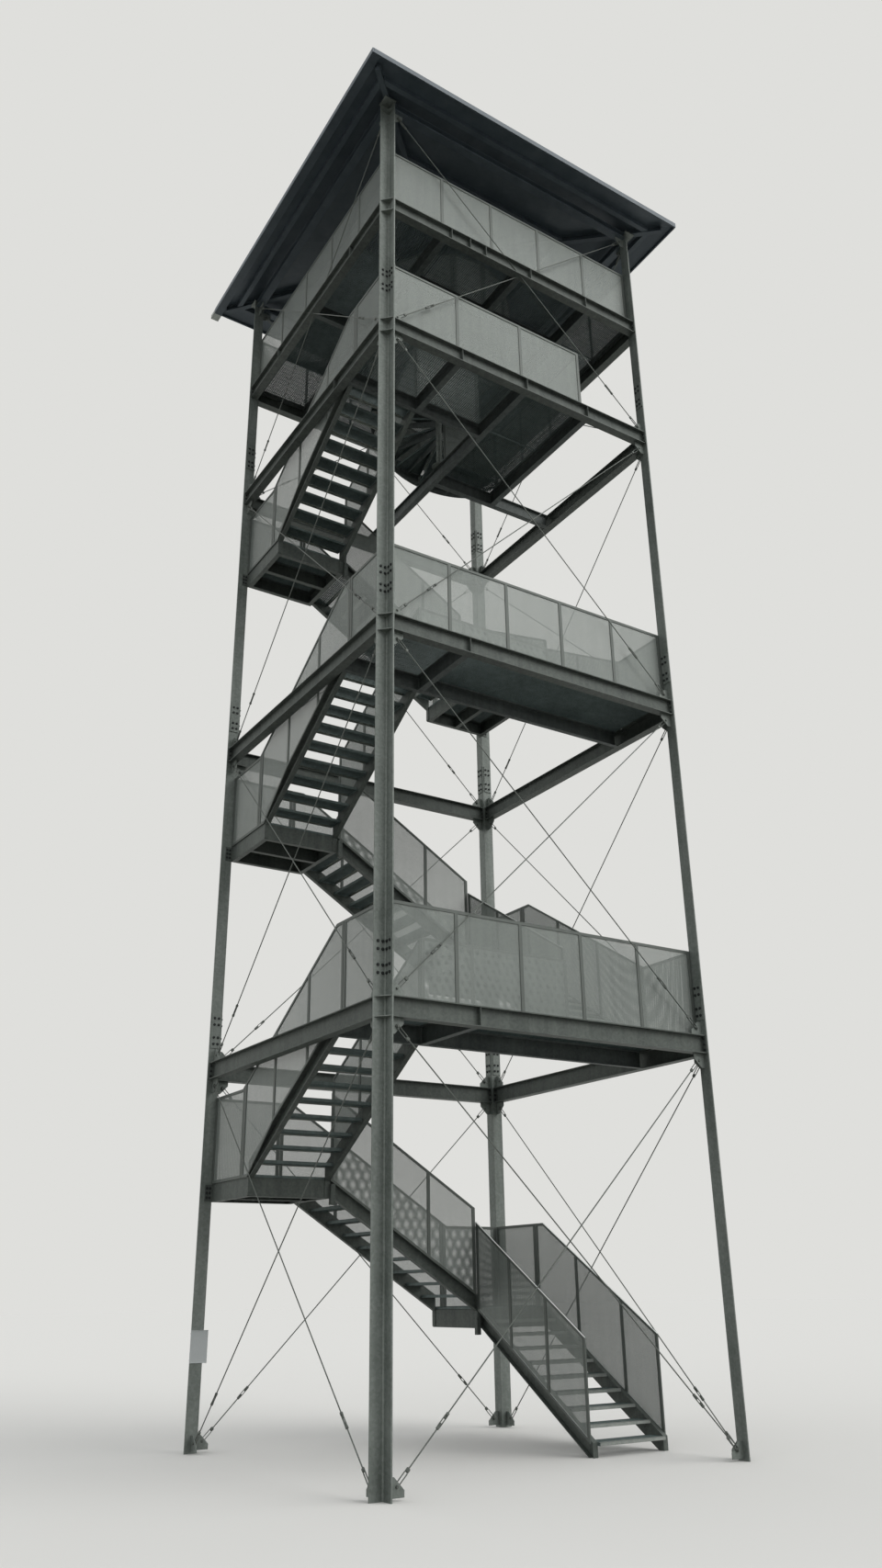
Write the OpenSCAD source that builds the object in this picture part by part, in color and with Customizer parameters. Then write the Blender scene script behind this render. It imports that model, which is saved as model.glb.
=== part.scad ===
// Fire lookout tower: a square open steel frame with a winding stair, four decks and a hipped roof.
// The origin is the middle of the plan at ground level. The front face looks along -Y. Millimetres.

/* [Plan] */
// Distance between the heels of two neighbouring columns
tower_w = 5000; // [4800:50:5600]
// Width of a deck strip, a landing and a flight, over its steel
strip_w = 1250; // [1150:10:1350]

/* [Straight flights] */
// Height of one step
riser = 173; // [165:1:180]
// Steps in one flight
flight_risers = 10; // [9:1:11]
// How far a tread reaches past the line of its riser
nosing = 50; // [20:1:60]
// Depth of a tread
tread_d = 300; // [270:5:320]
// Thickness of a tread
tread_t = 40; // [30:1:50]
// Depth of a stringer, square to its slope
stringer_h = 200; // [180:5:240]
// Flange width of a stringer and of an edge channel
channel_b = 75; // [60:1:90]
// Web thickness of a stringer and of an edge channel
channel_web = 9; // [6:1:12]
// Flange thickness of a stringer and of an edge channel
channel_flange = 12; // [8:1:16]

/* [Winding stair] */
// Steps between the third deck and the top deck
top_risers = 14; // [13:1:15]
// Height of one of these steps
top_riser = 177; // [165:1:185]
// Angle of one wedge tread
wedge_angle = 25; // [22:1:25]
// Clearance between the flat outer end of a wedge tread and the flights' inner side
wedge_clear = 20; // [15:1:80]
// Diameter of the newel post
newel_d = 140; // [114:1:168]
// Diameter of the newel's base plate
newel_base_d = 270; // [220:5:300]
// Thickness of the newel's base plate
newel_base_t = 20; // [12:1:25]
// Clear width between the wedge treads' guard and the stairwell guard
well_gap = 85; // [70:1:100]

/* [Columns] */
// Leg length of a column angle
col_leg = 180; // [160:5:200]
// Leg thickness of a column angle
col_t = 18; // [14:1:24]
// Size of the fillet at the root of a column angle
col_root = 14; // [10:1:18]
// Height from the top deck to the column tops
top_room = 2140; // [2100:10:2400]
// Thickness of stiffeners, cleats and end plates
plate_t = 12; // [8:1:16]
// Height of a splice plate
splice_h = 520; // [400:10:600]
// Height of the middle of each splice above its deck, from the first deck up
splice_up = [440, 545, 780]; // [440:5:800]
// Width of a square column cap
cap_w = 210; // [200:5:240]

/* [Beams] */
// Depth of a floor beam
beam_h = 250; // [220:5:270]
// Width of a floor beam
beam_b = 140; // [120:2:140]
// Web thickness of a floor beam
beam_web = 8; // [6:1:10]
// Flange thickness of a floor beam
beam_flange = 12; // [9:1:15]
// Width of a joist
joist_b = 100; // [80:2:120]
// Leg length of the seat angle that carries a deck's outer edge
seat = 60; // [50:5:70]
// Leg thickness of the seat angle
seat_t = 8; // [6:1:10]
// Half width of the joist frame round the round stairwell
trimmer_at = 1500; // [1480:10:1560]
// How far the stub floor of the third deck reaches past the middle of the plan
stub_past = 190; // [150:5:250]

/* [Floors] */
// Thickness of the bar grating
grating_t = 35; // [30:1:40]
// Gap between two grating panels
panel_gap = 6; // [4:1:10]

/* [Guards] */
// Height of a guard above the floor
guard_h = 1180; // [1100:5:1200]
// Thickness of a guard post and rail
guard_t = 20; // [16:1:25]
// Width of a guard post
post_w = 50; // [40:1:60]
// Height of a top rail and of a bottom rail
rail_h = 40; // [30:1:50]
// Thickness of the perforated sheet
sheet_t = 4; // [3:1:6]
// Gap between two guard frames
frame_gap = 10; // [6:1:14]
// How far a flight's guard runs on past the flight's ends
guard_past = 195; // [150:5:240]
// Number of sheets in a guard along a whole face
face_sheets = 5; // [4:1:6]

/* [Bracing] */
// Diameter of a bracing rod
rod_d = 16; // [14:1:20]
// Size of a gusset plate
gusset = 190; // [170:5:210]
// Distance of a rod's pin from the column and from the beam
pin_off = 100; // [90:5:120]
// Diameter of a rod's eye
eye_d = 56; // [50:1:64]
// Diameter of a turnbuckle
buckle_d = 45; // [40:1:52]
// Length of a turnbuckle
buckle_l = 180; // [150:10:210]
// Distance of a turnbuckle's middle from the rod's lower pin
buckle_at = 800; // [700:10:900]
// Height of the lowest gussets above the ground
base_up = 30; // [20:5:60]

/* [Roof] */
// How far the roof reaches past the column heels
overhang = 725; // [600:5:800]
// Slope of the roof, in degrees
roof_pitch = 8; // [6:0.5:10]
// Depth of a hip rafter, measured upright
rafter_h = 120; // [110:5:180]
// Width of a hip rafter
rafter_b = 90; // [80:2:100]
// Depth of a roof beam
roof_beam_h = 140; // [130:5:180]
// Width of a purlin
purlin_b = 80; // [60:2:100]
// Depth of a purlin
purlin_h = 100; // [80:2:120]
// Thickness of a roof panel
panel_t = 40; // [30:1:50]
// Height of the eaves trim
trim_h = 100; // [90:5:130]
// Thickness of the eaves trim
trim_t = 25; // [15:1:30]
// Width of the gutter along the left eaves
gutter_w = 150; // [120:5:160]
// Wall thickness of the gutter
gutter_t = 6; // [4:1:8]

/* [Hidden] */

// Half the distance between the column heels, and the inner edge of the deck strips
half = tower_w / 2;
inner = half - strip_w;
// Clearance of a piece from the one that carries it
fit = 0.3;

// Levels: one storey is three flights, walk() is the floor surface and steel() the top of its beams
flight_rise = flight_risers * riser;
storey_h = 3 * flight_rise;
function walk(level) = level <= 3 ? level * storey_h : 3 * storey_h + top_risers * top_riser;
function steel(level) = walk(level) - grating_t;
column_h = walk(4) + top_room;

// Straight flights: a flight climbs along +Y on the +X side, from -inner to inner
going = 2 * inner / (flight_risers - 1);
slope = riser / going;
stringer_v = stringer_h * sqrt(1 + slope * slope);
function nose_z(y) = riser + (y + inner) * slope;

// The guards stand just outside the heel line, and the face beams just outside the guards
beam_off = guard_t + beam_b / 2;
guard_lap = grating_t;
guard_end = inner + guard_past;

// Bracing: a rod passes on either side of the beam's web and of the gusset
rod_off = max(beam_web / 2 + 2, plate_t / 2) + rod_d / 2;
rod_slot_d = rod_d + 3;
rod_low = [base_up, steel(1), steel(2), steel(3)];
rod_high = [steel(1) - beam_h, steel(2) - beam_h, steel(3) - beam_h, column_h - roof_beam_h];

// Roof: the panels' underside is a pyramid that clears the column caps by a rafter
eaves = half + overhang;
roof_fall = tan(roof_pitch);
cap_out = cap_w - col_t / 2;
rafter_sink = rafter_b / 2 * roof_fall / sqrt(2);
roof_base = column_h + plate_t + rafter_h + rafter_sink - (eaves - half - cap_out) * roof_fall;
apex_z = roof_base + eaves * roof_fall;
purlin_rows = [0.28 * half, 0.7 * half, half + overhang * 0.53];

// Winding stair: the treads reach wedge_r, and a second guard stands round the stairwell's hole
wedge_r = inner - wedge_clear;
well_guard_r = wedge_r + guard_t + well_gap;
hole_r = well_guard_r - 5;
wedges = top_risers - 1;

steel_grey = "#8f9a96";
dark_steel = "#6f7a78";
sheet_grey = "#a9b3ad";
rod_grey = "#a4aaa8";
roof_grey = "#4a5259";

// Sections

module i_section(h, b, web, flange) {
    translate([-b / 2, h - flange]) square([b, flange]);
    translate([-b / 2, 0]) square([b, flange]);
    translate([-web / 2, 0]) square([web, h]);
}

// Channel with its web on the left and its toes to the right
module channel_section(h, b, web, flange) {
    translate([0, h - flange]) square([b, flange]);
    square([b, flange]);
    square([web, h]);
}

// Extrudes a section along +X from x0 to x1, with the section's x along +Y and its y along +Z
module along_x(x0, x1) {
    translate([x0, 0, 0]) rotate([90, 0, 90]) linear_extrude(x1 - x0) children();
}

// The same along +Y, with the section's x along +X
module along_y(y0, y1) {
    translate([0, y1, 0]) rotate([90, 0, 0]) linear_extrude(y1 - y0) children();
}

// Turns a piece of the front face to face k: 0 front, 1 right, 2 back, 3 left
module face(k) {
    rotate([0, 0, 90 * k]) children();
}

// Outline in the YZ plane, given as [y, z] points, extruded from x0 to x1
module upright(x0, x1, points) {
    translate([x0, 0, 0]) rotate([90, 0, 90]) linear_extrude(x1 - x0) polygon(points);
}

// Columns

module gusset_plate(up) {
    mirror([0, 0, up ? 0 : 1])
        rotate([90, 0, 0]) translate([0, 0, -plate_t / 2]) linear_extrude(plate_t)
            polygon([[0, 0], [gusset, 0], [gusset, gusset * 0.35], [gusset * 0.35, gusset], [0, gusset]]);
}

module column_gussets() {
    for (z = rod_low) translate([0, 0, z]) gusset_plate(true);
    for (z = rod_high) translate([0, 0, z]) gusset_plate(false);
}

module column_stiffener(z) {
    reach = col_leg - plate_t;
    root = col_t + col_root;
    translate([0, 0, z]) linear_extrude(plate_t)
        polygon([[-root, -col_t], [-reach, -col_t], [-col_t, -reach], [-col_t, -root]]);
}

// The splice plates lie on the heel side of the legs, clear of the guards
module column_splice(z) {
    far = col_leg - plate_t;
    near = guard_t + plate_t / 3;
    translate([0, 0, z - splice_h / 2]) linear_extrude(splice_h) {
        translate([-far, 0]) square([far - near, plate_t]);
        translate([0, -far]) square([plate_t, far - near]);
    }
}

module column(k) {
    color(steel_grey) face(k) translate([-half, -half, 0]) linear_extrude(column_h) polygon([
        [0, 0], [-col_leg, 0], [-col_leg, -col_t], [-col_t - col_root, -col_t],
        [-col_t, -col_t - col_root], [-col_t, -col_leg], [0, -col_leg]
    ]);
}

// Stiffeners between the column's legs, splice plates, gussets for the bracing, and a cap
module column_fittings() {
    color(steel_grey) for (k = [0:3]) face(k) translate([-half, -half, 0]) {
        for (level = [1:4]) {
            column_stiffener(steel(level) - plate_t);
            column_stiffener(steel(level) - beam_h);
        }
        column_stiffener(column_h - roof_beam_h);
        for (level = [1:3]) column_splice(walk(level) + splice_up[level - 1]);
        translate([0, -beam_off, 0]) column_gussets();
        translate([-beam_off, 0, 0]) mirror([1, -1, 0]) column_gussets();
        translate([-cap_w + col_t / 2, -cap_w + col_t / 2, column_h]) cube([cap_w, cap_w, plate_t]);
    }
}

// Bracing

// Places its children at a rod's lower pin, with +X along the rod: side 1 climbs to +X and -1 to -X
module at_rod(panel, side) {
    z0 = rod_low[panel] + pin_off;
    z1 = rod_high[panel] - pin_off;
    x = half - pin_off;
    translate([-side * x, -half - beam_off + side * rod_off, z0])
        rotate([0, -atan2(z1 - z0, side * 2 * x), 0]) children();
}

function rod_length(panel) = norm([
    2 * (half - pin_off), rod_high[panel] - rod_low[panel] - 2 * pin_off
]);

module turnbuckle() {
    window = buckle_l * 0.66;
    difference() {
        rotate([0, 90, 0]) cylinder(d = buckle_d, h = buckle_l, center = true, $fn = 32);
        cube([window, rod_d + 4, buckle_d + 2], center = true);
    }
}

module rod(panel, side) {
    l = rod_length(panel);
    bite = buckle_l / 6;
    eye_t = 2 * (rod_off - plate_t / 2);
    at_rod(panel, side) {
        rotate([0, 90, 0]) cylinder(d = rod_d, h = buckle_at - bite, $fn = 24);
        translate([buckle_at + bite, 0, 0]) rotate([0, 90, 0])
            cylinder(d = rod_d, h = l - buckle_at - bite, $fn = 24);
        translate([buckle_at, 0, 0]) turnbuckle();
        for (x = [0, l]) translate([x, eye_t / 2, 0]) rotate([90, 0, 0])
            cylinder(d = eye_d, h = eye_t, $fn = 32);
    }
}

module bracing(k) {
    color(rod_grey) face(k) for (panel = [0:3], side = [-1, 1]) rod(panel, side);
}

// Face beams

module face_beam(top_z, h) {
    translate([0, -half - beam_off, top_z - h])
        along_x(-half, half) i_section(h, beam_b, beam_web, beam_flange);
}

// The bracing between the third deck and the roof passes the top deck's beams through slots in their flanges
module floor_beams(level) {
    color(steel_grey) for (k = [0:3]) face(k) difference() {
        face_beam(steel(level), beam_h);
        if (level == 4) for (side = [-1, 1])
            at_rod(3, side) rotate([0, 90, 0]) cylinder(d = rod_slot_d, h = rod_length(3), $fn = 24);
    }
}

// Joists

module joist_y(x, y0, y1, level) {
    translate([x, 0, steel(level) - beam_h])
        along_y(y0, y1) i_section(beam_h, joist_b, beam_web, beam_flange);
}

module joist_x(y, x0, x1, level) {
    translate([0, y, steel(level) - beam_h])
        along_x(x0, x1) i_section(beam_h, joist_b, beam_web, beam_flange);
}

// Channel along the well side of the front strip, with its flat web towards the well
module edge_channel(x0, x1, level) {
    translate([0, -inner, steel(level) - beam_h]) along_x(x0, x1) mirror([1, 0])
        channel_section(beam_h, channel_b, channel_web, channel_flange);
}

edge = half + guard_t;
joist_end = -inner - channel_b / 2;

// Seat angle for a grating's outer edge and for the guard, from x0 to x1 against the face beam
module seat_angle(x0, x1, level) {
    g = joist_b / 2 + 5;
    translate([0, -edge, steel(level) - seat]) along_x(x0 + g, x1 - g)
        difference() {
            square(seat);
            translate([seat_t, 0]) square(seat - seat_t);
        }
}

module strip_joists(level) {
    color(dark_steel) {
        edge_channel(-edge, edge, level);
        joist_y(-inner, -edge, joist_end, level);
        seat_angle(-half, -inner, level);
        seat_angle(-inner, half, level);
    }
}

// The third deck is shorter, and its middle joist runs on under the newel to the back face
module third_joists() {
    color(dark_steel) {
        edge_channel(-edge, 0, 3);
        joist_y(-inner, -edge, joist_end, 3);
        joist_y(0, -edge, edge, 3);
        joist_y(inner, -edge, stub_past, 3);
        joist_x(stub_past, 0, edge, 3);
        seat_angle(-half, -inner, 3);
        seat_angle(-inner, 0, 3);
        seat_angle(0, inner, 3);
    }
}

module top_joists() {
    inside = trimmer_at - joist_b / 2;
    radial_h = 140;
    t = trimmer_at;
    color(dark_steel) {
        for (s = [0, 180]) rotate([0, 0, s]) {
            for (span = [[-half, -t], [-t, 0], [0, t], [t, half]]) seat_angle(span[0], span[1], 4);
            face(1) for (span = [[-half, 0], [0, half]]) seat_angle(span[0], span[1], 4);
        }
        for (x = [-trimmer_at, trimmer_at]) joist_y(x, -edge, edge, 4);
        for (y = [-trimmer_at, trimmer_at]) joist_x(y, -inside, inside, 4);
        for (s = [-1, 1]) {
            joist_y(0, s > 0 ? trimmer_at : -edge, s > 0 ? edge : -trimmer_at, 4);
            joist_x(0, s > 0 ? trimmer_at : -edge, s > 0 ? edge : -trimmer_at, 4);
        }
        translate([0, -joist_b, steel(4) - radial_h]) along_x(newel_d / 2 + 10, inside)
            i_section(radial_h, joist_b * 0.8, beam_web, beam_flange);
    }
}

// Decks

module grating(outline_z) {
    color(dark_steel) translate([0, 0, outline_z]) linear_extrude(grating_t) children();
}

module block(x0, y0, x1, y1) {
    g = panel_gap / 2;
    translate([x0 + g, y0 + g]) square([x1 - x0 - 2 * g, y1 - y0 - 2 * g]);
}

// Cuts a grating's corners back from the columns
module column_notches() {
    for (k = [0:3]) rotate(90 * k) translate([half, half]) circle(r = col_t, $fn = 4);
}

// The outer edge of a deck's grating lies on the line of the column heels
rim = half + panel_gap / 2;

module strip_grating(level) {
    xs = [-rim, -inner, 0, inner, rim];
    grating(steel(level)) difference() {
        for (i = [0:3]) block(xs[i], -rim, xs[i + 1], -inner);
        column_notches();
    }
}

module third_grating() {
    grating(steel(3)) difference() {
        union() {
            block(-rim, -rim, -inner, -inner);
            block(-inner, -rim, 0, -inner);
            block(0, -rim, inner, -inner);
            block(0, -inner, inner, stub_past);
        }
        column_notches();
        circle(d = newel_base_d + 10, $fn = 48);
    }
}

// Floor at the head of the winding stair, from the last wedge to the line where the stair starts
module head_wedge() {
    a0 = wedges * wedge_angle;
    arc = [for (i = [0:6]) a0 + (360 - a0) * i / 6];
    r0 = newel_d / 2 + 8;
    r1 = hole_r - panel_gap;
    polygon(concat(
        [for (a = [arc[6], arc[0]]) r0 / cos((360 - a0) / 2) * [cos(a), sin(a)]],
        [for (a = arc) r1 * [cos(a), sin(a)]]
    ));
}

module top_grating() {
    t = trimmer_at;
    grating(steel(4)) {
        difference() {
            union() {
                block(-rim, -rim, rim, -t);
                block(-rim, t, rim, rim);
                block(-rim, -t, -t, t);
                block(t, -t, rim, t);
                for (k = [0:3]) rotate(90 * k) block(0, 0, t, t);
            }
            column_notches();
            circle(r = hole_r, $fn = 96);
        }
        head_wedge();
    }
}

// Landings: a flight ends on the landing at the far end of its strip

module climb(storey, k) {
    face(k) translate([0, 0, (storey - 1) * storey_h + k * flight_rise]) children();
}

module landing_ring(h) {
    difference() {
        translate([inner, inner]) square(strip_w);
        translate([inner + h, inner + h]) square(strip_w - 2 * h);
    }
}

module landing_frame() {
    z1 = flight_rise - grating_t;
    translate([0, 0, z1 - beam_h]) {
        linear_extrude(beam_h) landing_ring(channel_web);
        linear_extrude(channel_flange) landing_ring(channel_b);
        translate([0, 0, beam_h - channel_flange]) linear_extrude(channel_flange) landing_ring(channel_b);
        translate([(inner + half) / 2, 0, 0]) along_y(inner, half)
            i_section(beam_h, joist_b * 0.8, beam_web, beam_flange);
        cleat = beam_h - 2 * channel_flange;
        for (m = [0, 1]) mirror([m, -m, 0])
            translate([half - channel_b, half - plate_t, channel_flange])
                cube([channel_b + col_leg * 0.6, plate_t, cleat]);
    }
}

module landing_frames() {
    color(steel_grey) for (storey = [1:3], k = [0, 1]) climb(storey, k) landing_frame();
}

module landing_gratings(storey) {
    for (k = [0, 1]) climb(storey, k) grating(flight_rise - grating_t) difference() {
        translate([inner + panel_gap, inner + panel_gap]) square(strip_w - panel_gap);
        column_notches();
    }
}

// The gratings of a storey: its deck and the two landings below the deck
module gratings(storey) {
    if (storey < 3) strip_grating(storey);
    if (storey == 3) third_grating();
    if (storey == 4) top_grating(); else landing_gratings(storey);
}

// Straight flights

module stringer(ground) {
    z_low = nose_z(-inner) - stringer_v;
    z_high = nose_z(inner) - stringer_v;
    foot_y = -inner - z_low / slope;
    outline = ground
        ? [[-inner, 0], [foot_y, 0], [inner, z_high], [inner, nose_z(inner)], [-inner, riser]]
        : [[-inner, z_low], [inner, z_high], [inner, nose_z(inner)], [-inner, riser]];
    flange_v = channel_flange * sqrt(1 + slope * slope);
    plate_low = ground ? 0 : -grating_t - beam_h + channel_flange;
    upright(0, channel_web, outline);
    upright(0, channel_b, [
        [-inner, riser - flange_v], [inner, nose_z(inner) - flange_v], [inner, nose_z(inner)], [-inner, riser]
    ]);
    upright(0, channel_b, ground
        ? [[foot_y - flange_v / slope, 0], [foot_y, 0], [inner, z_high], [inner, z_high + flange_v]]
        : [[-inner, z_low], [-inner, z_low + flange_v], [inner, z_high + flange_v], [inner, z_high]]);
    translate([0, -inner, plate_low]) cube([channel_b, plate_t, riser - plate_low]);
    translate([0, inner - plate_t, z_high]) cube([channel_b, plate_t, stringer_v]);
}

module stringer_pair(ground) {
    translate([half - channel_b, 0, 0]) stringer(ground);
    translate([inner + channel_b, 0, 0]) mirror([1, 0, 0]) stringer(ground);
}

module stringers(storey) {
    color(steel_grey) for (k = [0:2]) climb(storey, k) stringer_pair(storey == 1 && k == 0);
}

// A tread is seen from the side: its nosing is rounded off below
module tread(step) {
    y0 = -inner + (step - 1) * going - nosing;
    y1 = y0 + tread_d;
    z = step * riser;
    lip = 8;
    upright(inner + channel_b + fit, half - channel_b - fit, [
        [y0, z], [y1, z], [y1, z - tread_t], [y0 + lip, z - tread_t], [y0, z - tread_t + lip]
    ]);
}

module treads(storey) {
    color(dark_steel) for (k = [0:2]) climb(storey, k) for (step = [1:flight_risers - 1]) tread(step);
}

// Guards

// A guard frame in the YZ plane, from x = 0 to guard_t: a flat bar frame round perforated sheets.
// low and high are its lower and upper edges as [y, z] points, and posts are the places of its posts.
module guard_frame(low, high, posts) {
    last = len(posts) - 1;
    pocket = (guard_t - sheet_t) / 2;
    difference() {
        upright(0, guard_t, concat(low, [for (i = [len(high) - 1:-1:0]) high[i]]));
        for (i = [0:last - 1]) {
            y0 = posts[i] + (i == 0 ? post_w : post_w / 2);
            y1 = posts[i + 1] - (i + 1 == last ? post_w : post_w / 2);
            sill = [for (p = part_of(low, y0, y1)) [p[0], p[1] + rail_h]];
            head = [for (p = part_of(high, y0, y1)) [p[0], p[1] - rail_h]];
            window = concat(sill, [for (j = [len(head) - 1:-1:0]) head[j]]);
            upright(-1, pocket, window);
            upright(guard_t - pocket, guard_t + 1, window);
        }
    }
}

// The part of a line between y0 and y1, with the corners that fall between them
function part_of(line, y0, y1) = concat(
    [[y0, lookup(y0, line)]], [for (p = line) if (p[0] > y0 && p[0] < y1) p], [[y1, lookup(y1, line)]]
);

function spaced(y0, y1, sheets) = [for (i = [0:sheets]) y0 + (y1 - y0) * i / sheets];

module level_guard(y0, y1, sheets, foot, floor_z) {
    head = floor_z + guard_h;
    guard_frame([[y0, foot], [y1, foot]], [[y0, head], [y1, head]], spaced(y0, y1, sheets));
}

// A flight's rail keeps its height above the nosings, and is level beyond the flight's first and last step
function rail_z(y) = guard_h + min(flight_rise, max(0, nose_z(y)));
rail_foot = -inner - going;

// An outer flight guard runs on over the landings or decks at its ends, and laps the stringer between them
module outer_flight_guard(ground) {
    y0 = ground ? -inner + post_w : -guard_end;
    y1 = guard_end;
    posts = spaced(-guard_end, guard_end, 3);
    start = ground
        ? [[y0, nose_z(y0) - guard_lap]]
        : [[y0, -guard_lap], [-inner, -guard_lap], [posts[1], nose_z(posts[1]) - guard_lap]];
    translate([half, 0, 0]) guard_frame(
        concat(start, [
            [posts[2], nose_z(posts[2]) - guard_lap],
            [inner, flight_rise - guard_lap], [y1, flight_rise - guard_lap]
        ]),
        [[y0, rail_z(y0)], [inner, rail_z(inner)], [y1, rail_z(y1)]],
        [y0, posts[1], posts[2], y1]
    );
}

// The level guards beside a flight's head and foot stand at the edge of a landing or a deck
module head_guard() {
    y0 = guard_end + frame_gap;
    y1 = half - frame_gap;
    translate([half, 0, flight_rise]) guard_frame([[y0, -guard_lap], [y1, -guard_lap]],
        [[y0, guard_h], [y1, guard_h]], [y0, y1]);
}

module foot_guard() {
    y0 = -half + frame_gap;
    y1 = -guard_end - frame_gap;
    translate([half, 0, 0]) guard_frame([[y0, -guard_lap], [y1, -guard_lap]],
        [[y0, guard_h], [rail_foot, guard_h], [y1, rail_z(y1)]], [y0, y1]);
}

module outer_guards(storey) {
    color(sheet_grey) {
        for (k = [0:2]) climb(storey, k) outer_flight_guard(storey == 1 && k == 0);
        for (k = [0, 1]) climb(storey, k) head_guard();
        for (k = [1, 2]) climb(storey, k) foot_guard();
    }
}

// An inner guard runs from the guard at its foot to the guard at its head
module inner_guards(storey) {
    y0 = -inner + guard_t + frame_gap;
    y1 = inner - frame_gap;
    color(sheet_grey) for (k = [0:2]) climb(storey, k) translate([inner - guard_t, 0, 0])
        guard_frame([for (y = [y0, y1]) [y, nose_z(y) - guard_lap]], [for (y = [y0, y1]) [y, rail_z(y)]],
            spaced(y0, y1, 3));
}

// Turns a guard made along +Y to run along +X, on the front side of the line y
module guard_along_x(y) {
    translate([0, y, 0]) rotate([0, 0, -90]) children();
}

module strip_guards(level) {
    far = half - frame_gap;
    color(sheet_grey) {
        guard_along_x(-half) level_guard(-far, far, face_sheets, steel(level), walk(level));
        guard_along_x(-inner) level_guard(-inner + frame_gap, inner - frame_gap, 3, walk(level), walk(level));
        translate([0, 0, walk(level)]) foot_guard();
        climb(level, 2) head_guard();
    }
}

// The third deck's guards: front, left, right edge, and along the well as far as the winding stair
module third_guards() {
    clear_newel = newel_base_d / 2 + frame_gap;
    color(sheet_grey) {
        guard_along_x(-half) level_guard(-half + frame_gap, inner - frame_gap, 3, steel(3), walk(3));
        guard_along_x(-inner) level_guard(-inner + frame_gap, -frame_gap, 1, walk(3), walk(3));
        climb(3, 2) head_guard();
        level_guard(-inner, -clear_newel, 1, walk(3), walk(3));
        translate([inner - guard_t, 0, 0]) level_guard(-half + frame_gap, -frame_gap, 3, walk(3), walk(3));
    }
}

// One flat frame of a ring of frames, set at its angle with its inner face at the given distance
module ring_frame(step, r, gap, foot, head, climb_z) {
    reach = r * tan(wedge_angle / 2) - gap;
    rotate([0, 0, (step - 0.5) * wedge_angle]) translate([r, 0, 0])
        guard_frame(
            [[-reach, foot - climb_z / 2], [reach, foot + climb_z / 2]],
            [[-reach, head - climb_z / 2], [reach, head + climb_z / 2]],
            [-reach, reach]
        );
}

module top_guards() {
    far = half - frame_gap;
    color(sheet_grey) {
        for (k = [0:3]) face(k) guard_along_x(-half) level_guard(-far, far, face_sheets, steel(4), walk(4));
        for (step = [1:wedges]) ring_frame(step, well_guard_r, frame_gap / 2, walk(4), walk(4) + guard_h, 0);
        guard_along_x(0) level_guard(newel_d / 2 + frame_gap, hole_r - frame_gap, 1, walk(4), walk(4));
    }
}

// Winding stair

module newel_post() {
    color(steel_grey) translate([0, 0, steel(3)]) {
        cylinder(d = newel_d, h = walk(4) + guard_h - steel(3), $fn = 64);
        cylinder(d = newel_base_d, h = newel_base_t, $fn = 64);
    }
}

// A wedge tread has a flat end at the newel and a flat end at the guard, and its back laps the next one
module wedge_tread(step) {
    r0 = newel_d / 2 + fit;
    toe = r0 * tan(wedge_angle / 2);
    heel = wedge_r * tan(wedge_angle / 2);
    rotate([0, 0, (step - 0.5) * wedge_angle]) translate([0, 0, walk(3) + step * top_riser - tread_t])
        linear_extrude(tread_t)
            polygon([[r0, -toe], [wedge_r, -heel], [wedge_r, heel], [r0, toe + nosing / 2]]);
}

module winding_treads() {
    color(dark_steel) for (step = [1:wedges]) wedge_tread(step);
}

module winding_guard() {
    foot = walk(3) - tread_t;
    color(sheet_grey) for (step = [1:wedges])
        ring_frame(step, wedge_r + fit, frame_gap / 2,
            foot + (step - 0.2) * top_riser, walk(3) + guard_h + (step - 0.5) * top_riser, top_riser);
}

// Roof

// Purlins run from hip to hip, with their ends cut along the hips
module purlin(at) {
    d0 = at - purlin_b / 2;
    d1 = at + purlin_b / 2;
    hip = (rafter_b / 2 + 4) * sqrt(2);
    z1 = apex_z - d1 * roof_fall;
    translate([0, 0, z1 - purlin_h]) linear_extrude(purlin_h)
        polygon([[-d0 + hip, -d0], [d0 - hip, -d0], [d1 - hip, -d1], [-d1 + hip, -d1]]);
}

module roof_beams() {
    color(dark_steel) for (k = [0:3]) face(k) {
        face_beam(column_h, roof_beam_h);
        for (at = purlin_rows) purlin(at);
    }
}

// A hip rafter is an I-section that falls from the apex to the corner of the eaves
module hip_rafter() {
    l = (eaves - gutter_w + trim_t - 12) * sqrt(2) - rafter_b / 2;
    fall = roof_fall / sqrt(2) * l;
    flange = 10;
    web = 7;
    top = apex_z - rafter_sink;
    bottom = top - rafter_h;
    function band(z_up, z_low) = [[0, z_low], [0, z_up], [l, z_up - fall], [l, z_low - fall]];
    rotate([0, 0, 135]) {
        upright(-web / 2, web / 2, band(top, bottom));
        upright(-rafter_b / 2, rafter_b / 2, band(top, top - flange));
        upright(-rafter_b / 2, rafter_b / 2, band(bottom + flange, bottom));
        translate([-rafter_b / 2, l - plate_t, bottom - fall]) cube([rafter_b, plate_t, rafter_h]);
    }
}

module hip_rafters() {
    hub_d = 260;
    color(dark_steel) {
        for (k = [0:3]) face(k) hip_rafter();
        translate([0, 0, apex_z - rafter_h - 20]) cylinder(d = hub_d, h = rafter_h, $fn = 48);
    }
}

// A panel lies on the slope and stops short of the hips, which a cap covers
module roof_panel() {
    hip = 10;
    slope_l = (eaves - panel_t * sin(roof_pitch)) / cos(roof_pitch);
    translate([0, 0, apex_z]) rotate([roof_pitch, 0, 0]) linear_extrude(panel_t)
        polygon([[0, -hip / sin(45)], [eaves - hip / sin(45), -slope_l], [-eaves + hip / sin(45), -slope_l]]);
}

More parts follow.
